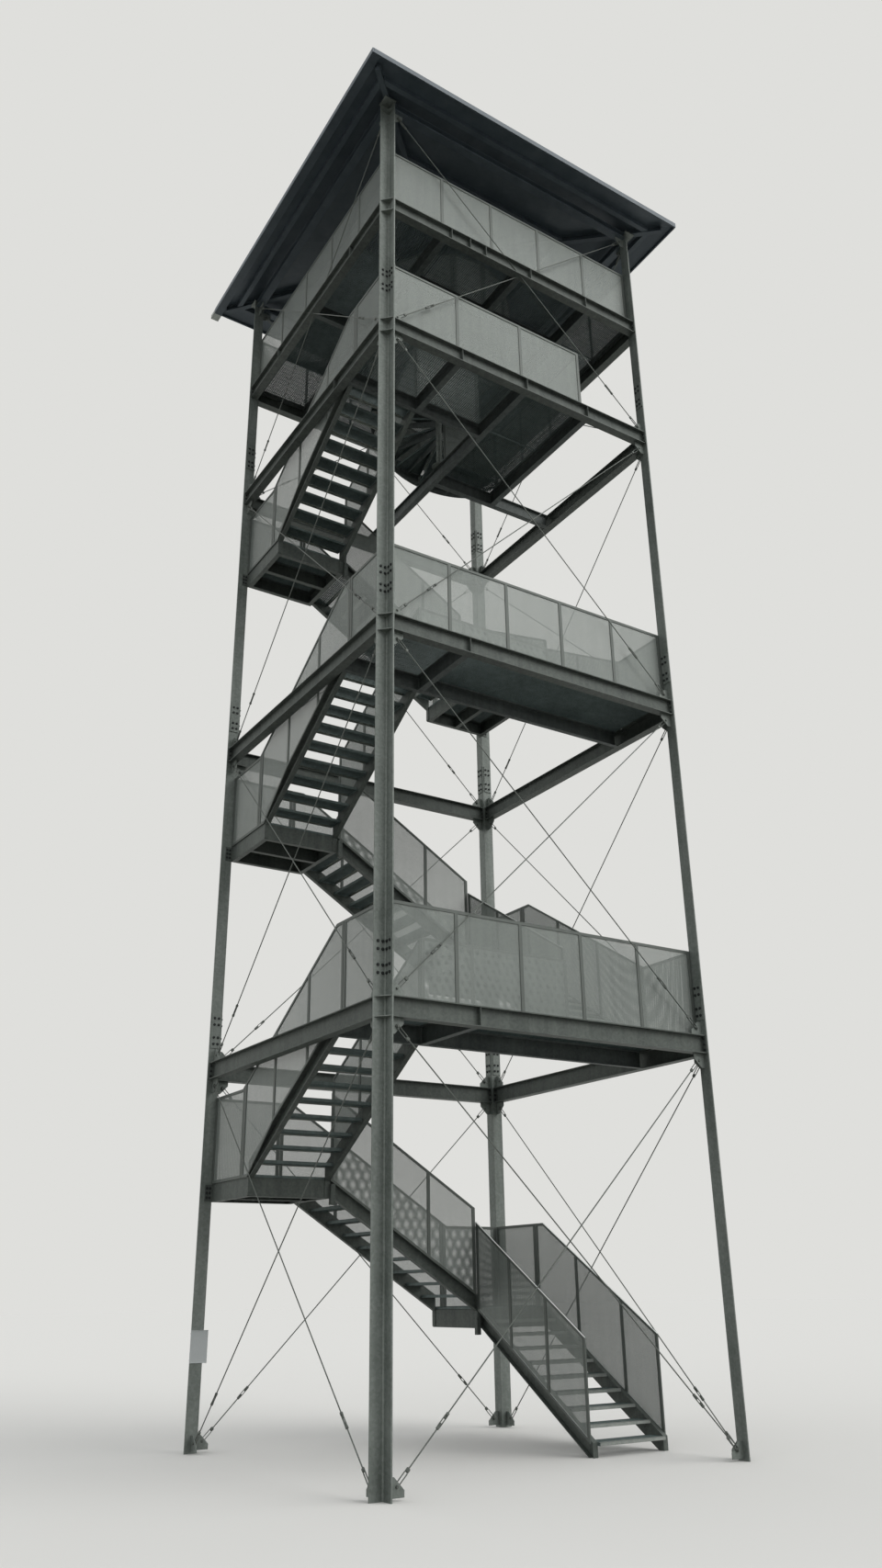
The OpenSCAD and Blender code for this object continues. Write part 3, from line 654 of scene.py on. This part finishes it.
# %% Newel, sleeves and base
NEWEL_R = 0.051
SLEEVE_R = 0.0572
BASE_T = 0.012
newel_low, newel_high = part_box("newel_post")


def drum(r, z0, z1, edge):
    only_none()
    bpy.ops.mesh.primitive_cylinder_add(vertices=32, radius=r, depth=z1 - z0,
                                        location=(0, 0, (z0 + z1) / 2))
    made = settled(bpy.context.object)
    unselected_mesh()
    for line in made.data.edges:
        a, b = (made.data.vertices[i].co for i in line.vertices)
        line.select = abs(a.z - b.z) < 1e-6
    bpy.ops.object.mode_set(mode="EDIT")
    bpy.ops.mesh.bevel(offset=edge, segments=2)
    bpy.ops.object.mode_set(mode="OBJECT")
    return made


drums = [drum(NEWEL_R, newel_low[2] + 0.01, newel_high[2] - 0.004, 0.004),
         drum(newel_high[0], newel_low[2], newel_low[2] + BASE_T, 0.002),
         drum(NEWEL_R + 0.005, newel_high[2] - 0.014, newel_high[2], 0.006)]
step_tops = [WALK[3] + i * WINDER for i in range(1, WEDGES + 2)]
drums += [drum(SLEEVE_R, z - 0.045, z - 0.001, 0.003) for z in step_tops]
newel = joined("newel_tube", drums)
only(newel)
bpy.ops.object.shade_smooth_by_angle(angle=math.radians(40))
finished(newel, "galvanised", section_steel, "newel_post")

# %% [markdown]
# A bracket under each wedge is a plate that tapers from the newel to the guard. It starts as a flat bar
# whose lower outer edge is raised.

# %% Brackets and worn edges of the wedges
BRACKET_L = 1.12
BRACKET_H = 0.16
BRACKET_TIP = 0.03
NOSE_AT = 0.67


def bracket():
    made = bar((BRACKET_L, 0.01, BRACKET_H), (NEWEL_R + BRACKET_L / 2, 0, -TREAD_T - BRACKET_H / 2))
    unselected_mesh()
    for v in made.data.vertices:
        v.select = v.co.x > BRACKET_L / 2 and v.co.z < -TREAD_T - BRACKET_H / 2
    raised(BRACKET_H - BRACKET_TIP)
    return made


finished(placed("wedge_brackets", bracket(), tread_places), "galvanised", painted_shade_steel)
near_edge = math.radians(12)
front = bar((1.14, 0.04, FLAT_T),
            (NOSE_AT * math.cos(near_edge), -NOSE_AT * math.sin(near_edge) + 0.018, 0.0005),
            math.radians(-WEDGE / 2), 0.001)
finished(placed("wedge_nosings", front, tread_places), "grating", edge_steel_wear_and_highlight)

# %% [markdown]
# ## Straight treads
# A tread spans from stringer to stringer: bearing bars, cross rods, a plate at each end and a bright
# checkered angle along its nosing, pale from wear and in part from a painted highlight. It is modelled
# once, and 27 copies climb each storey.

# %% One tread
TREAD_D = 0.3
NOSING = 0.05
FIT = 0.0003
TREAD_W = STRIP - 2 * CHANNEL - 2 * FIT
TREAD_X = INNER + CHANNEL + FIT
TREAD_MID = TREAD_X + TREAD_W / 2
TREAD_Y = -INNER - NOSING
NOSE_W = 0.045
NOSE_EDGE = 0.0015
BARS = 7
RODS = 11


def tread_bars():
    low = RISER - TREAD_T / 2
    bearing = row((TREAD_W, BAR_T, BAR_H), (TREAD_MID, TREAD_Y + 0.06, RISER - BAR_H / 2),
                  BARS, (0, PITCH, 0))
    rods = row((TIE, TREAD_D - 2 * FLAT_T, TIE), (TREAD_X + 0.05, TREAD_Y + TREAD_D / 2, RISER - TIE / 2),
               RODS, (TIE_PITCH, 0, 0))
    back = bar((TREAD_W, FLAT_T, TREAD_T), (TREAD_MID, TREAD_Y + TREAD_D - FLAT_T / 2, low))
    cheeks = row((FLAT_T, TREAD_D, TREAD_T), (TREAD_X + FLAT_T / 2, TREAD_Y + TREAD_D / 2, low),
                 2, (TREAD_W - FLAT_T, 0, 0))
    return joined("tread", [bearing, rods, back, cheeks])


def tread_nosing():
    lip = bar((TREAD_W, FLAT_T, TREAD_T), (TREAD_MID, TREAD_Y + FLAT_T / 2, RISER - TREAD_T / 2),
              0, NOSE_EDGE)
    top = bar((TREAD_W, NOSE_W, FLAT_T), (TREAD_MID, TREAD_Y + NOSE_W / 2, RISER - FLAT_T / 2),
              0, NOSE_EDGE)
    return joined("nosing", [lip, top])


def tread_steps(storey):
    return [climb(storey, k) @ moved(0, GOING * i, RISER * i) for k in (0, 1, 2) for i in range(STEPS - 1)]


for storey in (1, 2, 3):
    steps = tread_steps(storey)
    gratings = placed(f"tread_gratings_{storey}", tread_bars(), steps)
    finished(gratings, "grating", grating_steel, f"treads_{storey}")
    finished(placed(f"tread_nosings_{storey}", tread_nosing(), steps), "grating", edge_steel_wear_and_highlight)

# %% [markdown]
# ## The winding stair's guard
# A rolled sheet climbs round the stair between two rails. A profile turned about the newel while it rises
# gives that shape, which is what the screw modifier does: a thin rectangle makes the sheet, two small ones
# make the rails. The ends of the tubes it makes are then filled. Beyond the first wedge a plain plate, the
# outer stringer, runs under the sheet and hides the treads' ends. So the first wedge's sheet, low rail and
# post are made apart, and the rest starts one wedge further on.

# %% Sheet, rails and posts of the winding guard
GUARD_H = 1.18
GUARD_R = 1.2445
SHEET_T = 0.004
RAIL_H = 0.04
DROP = 0.12
STRING_H = 0.27


def screwed(thick, z0, z1, wedges):
    only_none()
    bpy.ops.mesh.primitive_plane_add(size=1, location=(GUARD_R, 0, (z0 + z1) / 2),
                                     rotation=(math.pi / 2, 0, 0))
    made = bpy.context.object
    made.scale = (thick, z1 - z0, 1)
    settled(made)
    bpy.ops.object.mode_set(mode="EDIT")
    bpy.ops.mesh.select_all(action="SELECT")
    bpy.ops.mesh.delete(type="ONLY_FACE")
    bpy.ops.object.mode_set(mode="OBJECT")
    bpy.ops.object.modifier_add(type="SCREW")
    screw = made.modifiers[-1]
    screw.angle = math.radians(WEDGE * wedges)
    screw.screw_offset = WINDER * wedges
    screw.steps = screw.render_steps = 6 * wedges
    screw.axis = "Z"
    bpy.ops.object.modifier_apply(modifier=screw.name)
    bpy.ops.object.mode_set(mode="EDIT")
    bpy.ops.mesh.select_all(action="SELECT")
    bpy.ops.mesh.fill_holes(sides=4)
    bpy.ops.mesh.select_all(action="SELECT")
    bpy.ops.mesh.normals_make_consistent(inside=False)
    bpy.ops.object.mode_set(mode="OBJECT")
    return made


def guard_post(z0, z1):
    return bar((0.022, 0.05, z1 - z0), (GUARD_R, 0, (z0 + z1) / 2), 0, 0.003)


LOW = WALK[3] - TREAD_T + 0.3 * WINDER
HIGH = WALK[3] + GUARD_H
SHEET_TOP = HIGH - RAIL_H / 2
STRING_LOW = LOW - DROP
STRING_TOP = STRING_LOW + STRING_H
turns = [turned(WEDGE * i) @ moved(0, 0, WINDER * i) for i in range(WEDGES + 1)]
first = screwed(SHEET_T, LOW + RAIL_H / 2, SHEET_TOP, 1)
rest = placed("rest", screwed(SHEET_T, STRING_TOP - 0.01, SHEET_TOP, WEDGES - 1), [turns[1]])
finished(joined("winding_guard_sheet", [first, rest]), "guard_sheet", round_guard_steel, "winding_guard")
stringer = screwed(PLATE_T, STRING_LOW, STRING_TOP, WEDGES - 1)
finished(placed("winding_stringer", stringer, [turns[1]]), "galvanised", painted_shade_steel)
top_rail = screwed(0.03, HIGH - RAIL_H, HIGH, WEDGES)
low_rail = screwed(0.02, LOW, LOW + RAIL_H, 1)
mid_rail = placed("mid_rail", screwed(0.02, STRING_TOP - 0.01, STRING_TOP + 0.02, WEDGES - 1), [turns[1]])
first_post = guard_post(LOW, HIGH)
posts = placed("posts", guard_post(STRING_LOW + 0.08, HIGH), turns[1:])
frame_parts = [top_rail, low_rail, mid_rail, first_post, posts]
finished(joined("winding_guard_frame", frame_parts), "guard_sheet", section_steel)

# %% [markdown]
# ## Bolts
# The joints are bolted, and rows of heads mark every splice. A bolt is a six-sided head on a washer, made
# once, pointing up. A matrix turns it to the face that it clamps.

# %% One bolt, and the way it points
HEAD_R = 0.0175
HEAD_H = 0.013
WASHER_R = 0.021
WASHER_T = 0.003


def disc(sides, r, thick, low):
    only_none()
    bpy.ops.mesh.primitive_cylinder_add(vertices=sides, radius=r, depth=thick,
                                        location=(0, 0, low + thick / 2))
    return settled(bpy.context.object)


def bolt(size=1.0):
    head = broken(disc(6, HEAD_R, HEAD_H, WASHER_T), 0.0015)
    made = joined("bolt", [head, disc(10, WASHER_R, WASHER_T, 0)])
    made.data.transform(Matrix.Scale(size, 4))
    return made


UP = {"-y": Matrix.Rotation(math.pi / 2, 4, "X"), "+y": Matrix.Rotation(-math.pi / 2, 4, "X"),
      "-x": Matrix.Rotation(-math.pi / 2, 4, "Y"), "+x": Matrix.Rotation(math.pi / 2, 4, "Y")}


def at(x, y, z, way):
    return moved(x, y, z) @ UP[way]


# %% [markdown]
# Each column is spliced once a storey. Four rows of two bolts go through each leg: heads on the open side
# of the angle, nuts on the splice plates.

# %% Splice bolts
SPLICES = [WALK[1] + 0.44, WALK[2] + 0.545, WALK[3] + 0.78]
SPLICE_ROWS = [-0.195, -0.097, 0.097, 0.195]
SPLICE_GAUGES = [-0.055, -0.122]
places = []
for k in range(4):
    heel = face(k) @ moved(-HALF, -HALF, 0)
    for z in [splice + row_z for splice in SPLICES for row_z in SPLICE_ROWS]:
        for gauge in SPLICE_GAUGES:
            places += [heel @ at(gauge, -LEG_T, z, "-y"), heel @ at(gauge, PLATE_T, z, "+y"),
                       heel @ at(-LEG_T, gauge, z, "-x"), heel @ at(PLATE_T, gauge, z, "+x")]
finished(placed("splice_bolts", bolt(), places), "galvanised", bolt_steel)

# %% [markdown]
# ## Beam ends and stiffeners
# A face beam ends in a plate with two rows of bolts. Where a joist meets the inner side of its web, an
# upright plate stiffens the outer side, so a short bright line crosses the beam there. The table gives
# where: for each level, the faces from 0, the front, and the places along each face.

# %% End plates, stiffeners and their bolts
WEB_Y = -HALF - BEAM_OFF
END_W = 0.165
RIB_D = 0.064
SMALL = 0.9
STIFF = {1: {0: [-INNER]}, 2: {0: [-INNER]}, 3: {0: [-INNER, 0, INNER], 3: [1.0]},
         4: {0: [-1.4, -1.035, -0.72, 0.205, 1.4], 1: [-1.4, 1.4], 2: [-1.4, 0, 1.4], 3: [1.447, -1.317]}}
end_plate = bar((PLATE_T, END_W, BEAM_H - 0.004), (-HALF + PLATE_T / 2, WEB_Y, -BEAM_H / 2), 0, 0.002)
end_places = [face(k) @ Matrix.Scale(s, 4, (1, 0, 0)) @ moved(0, 0, steel(level))
              for level in (1, 2, 3, 4) for k in range(4) for s in (1, -1)]
rib = bar((0.01, RIB_D, BEAM_H - 0.026), (0, WEB_Y - 0.005 - RIB_D / 2, -BEAM_H / 2), 0, 0.002)
rib_places = [face(k) @ moved(x, 0, steel(level))
              for level, faces in STIFF.items() for k, row_x in faces.items() for x in row_x]
plates = joined("beam_plates", [placed("ends", end_plate, end_places), placed("ribs", rib, rib_places)])
finished(plates, "galvanised", beam_steel_painted_shade)
places = [place @ at(-HALF + PLATE_T, WEB_Y + y, z, "+x")
          for place in end_places for y in (-0.045, 0.045) for z in (-0.05, -0.125, -0.2)]
finished(placed("beam_bolts", bolt(SMALL), places), "galvanised", bolt_steel)

# %% [markdown]
# ## Landings
# A landing hangs on its column by two cleats, each with three bolts a side. A short stub under its inner
# corner ties the stringers of the two flights that meet there.

# %% Cleat bolts and corner stubs
CLEAT_LOW = FLIGHT - SLAB - BEAM_H
STUB_AT = INNER - 0.034
landing_places = [climb(storey, k) for storey in (1, 2, 3) for k in (0, 1)]
places = []
for here in landing_places:
    for x in (HALF + 0.04, HALF + 0.085):
        for z in (CLEAT_LOW + 0.06, CLEAT_LOW + 0.125, CLEAT_LOW + 0.19):
            places += [here @ at(x, HALF - PLATE_T, z, "-y"), here @ at(HALF - PLATE_T, x, z, "-x")]
finished(placed("cleat_bolts", bolt(SMALL), places), "galvanised", bolt_steel)
stub_post = bar((0.07, 0.07, 0.28), (STUB_AT, STUB_AT, FLIGHT - 0.23), 0, 0.004)
finished(placed("corner_stubs", stub_post, landing_places), "galvanised", beam_steel_painted_shade)

# %% [markdown]
# ## Bracing rods
# Two thin rods cross in each panel of each face. A rod is screwed into a fork at each end, whose two arms
# reach for the pin on the gusset plate, and an open turnbuckle near its lower end draws it tight. The
# ready-made rods have plain eyes and their turnbuckles face up, so new ones take their place. A rod is
# made along +X from its lower pin, and a matrix leans it across its panel.

# %% Forks, turnbuckle and pins
PIN_OFF = 0.1
ROD_OFF = 0.014
ROD_R = 0.008
FORK_L = 0.17
FORK_ARM = 0.0195
EYE_R = 0.0275
EYE_T = 0.014
ROD_END = 0.19
BUCKLE_AT = 0.8
BUCKLE_L = 0.17
BUCKLE_ARM = 0.0145
NUT_R = 0.019
NUT_L = 0.036
ARM_T = 0.009


def stick(r, x0, x1, sides=10):
    only_none()
    bpy.ops.mesh.primitive_cylinder_add(vertices=sides, radius=r, depth=x1 - x0,
                                        location=((x0 + x1) / 2, 0, 0), rotation=(0, math.pi / 2, 0))
    return broken(settled(bpy.context.object), r * 0.2)


def fork(x, way):
    arms = [bar((FORK_L, EYE_T, ARM_T), (x + way * FORK_L / 2, 0, z), 0, 0.002)
            for z in (-FORK_ARM, FORK_ARM)]
    eye = stick(EYE_R, -EYE_T / 2, EYE_T / 2, 16)
    eye.data.transform(moved(x, 0, 0) @ turned(90))
    neck = bar((0.05, 0.026, 0.046), (x + way * (FORK_L + 0.025), 0, 0), 0, 0.008)
    return arms + [eye, neck]


def turnbuckle(x):
    arms = [bar((BUCKLE_L - 0.03, 0.016, ARM_T), (x, 0, z), 0, 0.003) for z in (-BUCKLE_ARM, BUCKLE_ARM)]
    nuts = [stick(NUT_R, end - NUT_L / 2, end + NUT_L / 2, 12)
            for end in (x - BUCKLE_L / 2, x + BUCKLE_L / 2)]
    return arms + nuts


def bracing_rod(length):
    bite = BUCKLE_L / 6
    rods = [stick(ROD_R, ROD_END, BUCKLE_AT - bite), stick(ROD_R, BUCKLE_AT + bite, length - ROD_END)]
    return joined("rod", rods + fork(0, 1) + fork(length, -1) + turnbuckle(BUCKLE_AT))


# %% [markdown]
# The panels lie between the floor beams. The lowest starts just above the ground, and the highest ends
# under the roof's beams. One rod of a pair lies in front of the gusset plate and one behind it.

# %% Rods of the four faces
GROUND_GAP = 0.03
TOP_ROOM = 2.14
ROOF_BEAM = 0.14
LOWS = [GROUND_GAP, steel(1), steel(2), steel(3)]
HIGHS = [steel(level) - BEAM_H for level in (1, 2, 3)] + [WALK[4] + TOP_ROOM - ROOF_BEAM]
REACH = HALF - PIN_OFF
face_rods = []
pin_places = []
for low, high in zip(LOWS, HIGHS):
    rise = high - low - 2 * PIN_OFF
    lean = math.atan2(rise, 2 * REACH)
    made = bracing_rod(math.hypot(rise, 2 * REACH))
    leans = [moved(-s * REACH, WEB_Y + s * ROD_OFF, low + PIN_OFF)
             @ Matrix.Rotation(-lean if s > 0 else lean - math.pi, 4, "Y") for s in (-1, 1)]
    face_rods.append(placed("crossed_rods", made, leans))
    for s, head_way, nut_way in ((-1, "-y", "+y"), (1, "+y", "-y")):
        for x, z in ((-s * REACH, low + PIN_OFF), (s * REACH, high - PIN_OFF)):
            pin_places += [at(x, WEB_Y + s * (ROD_OFF + EYE_T / 2), z, head_way),
                           at(x, WEB_Y - s * PLATE_T / 2, z, nut_way)]
face_rods.append(placed("pins", bolt(SMALL), pin_places))
all_rods = joined("rods", face_rods)
for k, side in enumerate(["front", "right", "back", "left"]):
    twin = all_rods.copy()
    twin.data = all_rods.data.copy()
    bpy.context.collection.objects.link(twin)
    finished(placed(f"bracing_rods_{side}", twin, [face(k)]), "rods", rod_steel, f"bracing_{side}")
bpy.data.objects.remove(all_rods)

# %% [markdown]
# ## Roof
# The covering is sheet with raised seams that run down the slope. A seam is a bar from the hip to the
# eaves, made in the slope's own plane and then tilted. Folded caps cover the hips, and a low pyramid closes
# the peak.

# %% Seams, hip caps and peak
OVERHANG = 0.725
EAVES = HALF + OVERHANG
ROOF_PITCH = math.radians(8)
PANEL_T = 0.04
SEAM_PITCH = 0.42
SEAM_W = 0.032
SEAM_H = 0.036
HIP_CLEAR = 0.19
roof_low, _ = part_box("roof_panels")
SLOPE_L = (EAVES - PANEL_T * math.sin(ROOF_PITCH)) / math.cos(ROOF_PITCH)
APEX = roof_low[2] + EAVES * math.tan(ROOF_PITCH)
tilt = moved(0, 0, APEX) @ Matrix.Rotation(ROOF_PITCH, 4, "X")
seams = []
for i in range(-7, 8):
    x = i * SEAM_PITCH
    s0, s1 = abs(x) * SLOPE_L / EAVES + HIP_CLEAR, SLOPE_L - 0.005
    if s1 - s0 > 0.1:
        seams.append(bar((SEAM_W, s1 - s0, SEAM_H), (x, -(s0 + s1) / 2, PANEL_T + SEAM_H / 2), 0, 0.009))
seam = joined("seam", seams)
finished(placed("roof_seams", seam, [face(k) @ tilt for k in range(4)]), "roof_sheet", roof_coat)

# %% [markdown]
# A cap starts as a flat bar along the hip. It is cut along its middle, and the cut is raised, so it folds
# over the corner of the roof.

# %% Caps over the hips
CAP_W = 0.26
CAP_FOLD = 0.03
hip_l = EAVES * math.sqrt(2)
hip_fall = math.atan(EAVES * math.tan(ROOF_PITCH) / hip_l)
cap = bar((hip_l - 0.16, CAP_W, 0.012), (hip_l / 2 - 0.07, 0, 0))
bpy.ops.object.mode_set(mode="EDIT")
bpy.ops.mesh.select_all(action="SELECT")
bpy.ops.mesh.bisect(plane_co=(0, 0, 0), plane_no=(0, 1, 0))
bpy.ops.object.mode_set(mode="OBJECT")
for v in cap.data.vertices:
    v.select = abs(v.co.y) < 0.001
raised(CAP_FOLD)
hip_places = [moved(0, 0, APEX + PANEL_T + 0.008) @ turned(45 + 90 * k) @ Matrix.Rotation(hip_fall, 4, "Y")
              for k in range(4)]
caps = placed("caps", cap, hip_places)
only_none()
bpy.ops.mesh.primitive_cone_add(vertices=4, radius1=0.36, radius2=0.04, depth=0.07,
                                location=(0, 0, APEX + PANEL_T + 0.024), rotation=(0, 0, math.pi / 4))
peak = settled(bpy.context.object)
finished(joined("hip_caps", [caps, peak]), "roof_sheet", roof_coat)

# %% [markdown]
# The gutter along the left eaves ends in a short open spout past the back corner: a bottom, an outer wall
# and a lower inner wall.

# %% Gutter spout
TRIM_T = 0.025
SPOUT_W = 0.15
SPOUT_L = 0.18
SPOUT_H = 0.09
SPOUT_T = 0.006
trim_low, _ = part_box("eaves_trim")
z0 = trim_low[2]
x0 = -EAVES - TRIM_T
y = EAVES + TRIM_T + SPOUT_L / 2
spout = [bar((SPOUT_W, SPOUT_L, SPOUT_T), (x0 + SPOUT_W / 2, y, z0 + SPOUT_T / 2), 0, 0.001),
         bar((SPOUT_T, SPOUT_L, SPOUT_H), (x0 + SPOUT_T / 2, y, z0 + SPOUT_H / 2), 0, 0.001),
         bar((SPOUT_T, SPOUT_L, SPOUT_H / 2), (x0 + SPOUT_W - SPOUT_T / 2, y, z0 + SPOUT_H / 4), 0, 0.001)]
# The spout takes the paler edge zinc, whose paleness is in part a painted highlight.
finished(joined("gutter_spout", spout), "trim", edge_steel_wear_and_highlight)

# %% [markdown]
# ## Information plate
# A small enamelled plate is strapped to the left column. It is left bare, with folded edges and two straps.

# %% Plate and straps
SIGN_W = 0.25
SIGN_H = 0.41
SIGN_X = -2.565
SIGN_Z = 1.295
RIM = 0.01
RIM_D = 0.008
RIM_Y = HALF - RIM_D
rim_x, rim_z = SIGN_W / 2 - 0.004, SIGN_H / 2 - 0.004
plate = bar((SIGN_W, 0.003, SIGN_H), (SIGN_X, HALF - 0.005, SIGN_Z), 0, 0.001)
rims = [bar((SIGN_W, RIM_D, RIM), (SIGN_X, RIM_Y, z), 0, 0.002) for z in (SIGN_Z - rim_z, SIGN_Z + rim_z)]
rims += [bar((RIM, RIM_D, SIGN_H), (x, RIM_Y, SIGN_Z), 0, 0.002) for x in (SIGN_X - rim_x, SIGN_X + rim_x)]
finished(joined("information_plate", [plate] + rims), "trim", plate_coat)
straps = [bar((0.2, 0.002, 0.012), (-2.592, HALF - 0.002, z), 0, 0.0005)
          for z in (SIGN_Z - 0.165, SIGN_Z + 0.165)]
finished(joined("plate_straps", straps), "galvanised", bolt_steel)

# %% [markdown]
# ## The camera
# The picture was taken from eye height, about 17 m away, looking up at 23 degrees. The long side of
# the picture is its height, and a 27 mm lens on 36 mm of height gives its field of view.

# %% Camera
EYE = (-9.4555, -14.5595, 1.9498)
yaw, pitch, roll = 0.9980402869, 0.4034712413, -0.0149525427
ahead = Vector((math.cos(pitch) * math.cos(yaw), math.cos(pitch) * math.sin(yaw), math.sin(pitch)))
side = Vector((math.sin(yaw), -math.cos(yaw), 0))
up = side.cross(ahead)
right = side * math.cos(roll) + up * math.sin(roll)
top = up * math.cos(roll) - side * math.sin(roll)
bpy.ops.object.camera_add(location=EYE)
camera = bpy.context.object
camera.rotation_euler = Matrix((right, top, -ahead)).transposed().to_euler()
camera.data.lens = 27.28
camera.data.sensor_width = 36
camera.data.clip_end = 400
bpy.context.scene.camera = camera

# %% [markdown]
# ## Light and floor
# An overcast sky lights a tower from above and hardly from below, so the undersides of its floors are
# dark. The world is bright overhead and dim under the horizon for the light it gives, and a plain pale
# grey for what is seen directly, reflected, or through a hole. The floor does the same.

# %% Rays that see the plain grey
def plain_rays(tree):
    ray = add(tree, "ShaderNodeLightPath")
    seen = add(tree, "ShaderNodeMath", {0: ray.outputs["Is Camera Ray"], 1: ray.outputs["Is Glossy Ray"]},
               operation="MAXIMUM")
    return add(tree, "ShaderNodeMath", {0: seen.outputs[0], 1: ray.outputs["Is Transmission Ray"]},
               operation="MAXIMUM").outputs[0]


# %% World
world = bpy.context.scene.world or bpy.data.worlds.new("sky")
bpy.context.scene.world = world
world.use_nodes = True
tree = world.node_tree
tree.nodes.clear()
way = add(tree, "ShaderNodeTexCoord").outputs["Generated"]
height = add(tree, "ShaderNodeSeparateXYZ", {0: way}).outputs["Z"]
glow = add(tree, "ShaderNodeMapRange",
           {"Value": height, "From Min": -0.05, "From Max": 0.9, "To Min": 0.48, "To Max": 1.1})
lighting = add(tree, "ShaderNodeBackground", {"Color": linear("#eef1f4"), "Strength": glow.outputs[0]})
backdrop = add(tree, "ShaderNodeBackground", {"Color": linear("#dfdfdc"), "Strength": 1.0})
both = add(tree, "ShaderNodeMixShader",
           {0: plain_rays(tree), 1: lighting.outputs[0], 2: backdrop.outputs[0]})
add(tree, "ShaderNodeOutputWorld", {"Surface": both.outputs[0]})
bpy.context.scene.view_settings.view_transform = "Standard"

# %% Floor
only_none()
bpy.ops.mesh.primitive_plane_add(size=300)
floor = bpy.context.object
floor.name = "floor"
ground, tree, surface = new_material("pale_floor")
tree.nodes.remove(surface)
pale = add(tree, "ShaderNodeBsdfDiffuse", {"Color": linear("#dbd9d4")})
dim = add(tree, "ShaderNodeBsdfDiffuse", {"Color": linear("#464644")})
both = add(tree, "ShaderNodeMixShader", {0: plain_rays(tree), 1: dim.outputs[0], 2: pale.outputs[0]})
tree.links.new(both.outputs[0], tree.nodes["Material Output"].inputs["Surface"])
floor.data.materials.append(ground)

# %% A soft lamp from the open side
bpy.ops.object.light_add(type="SUN", rotation=(math.radians(48), 0, math.radians(35)))
lamp = bpy.context.object
lamp.data.energy = 1.1
lamp.data.angle = math.radians(50)
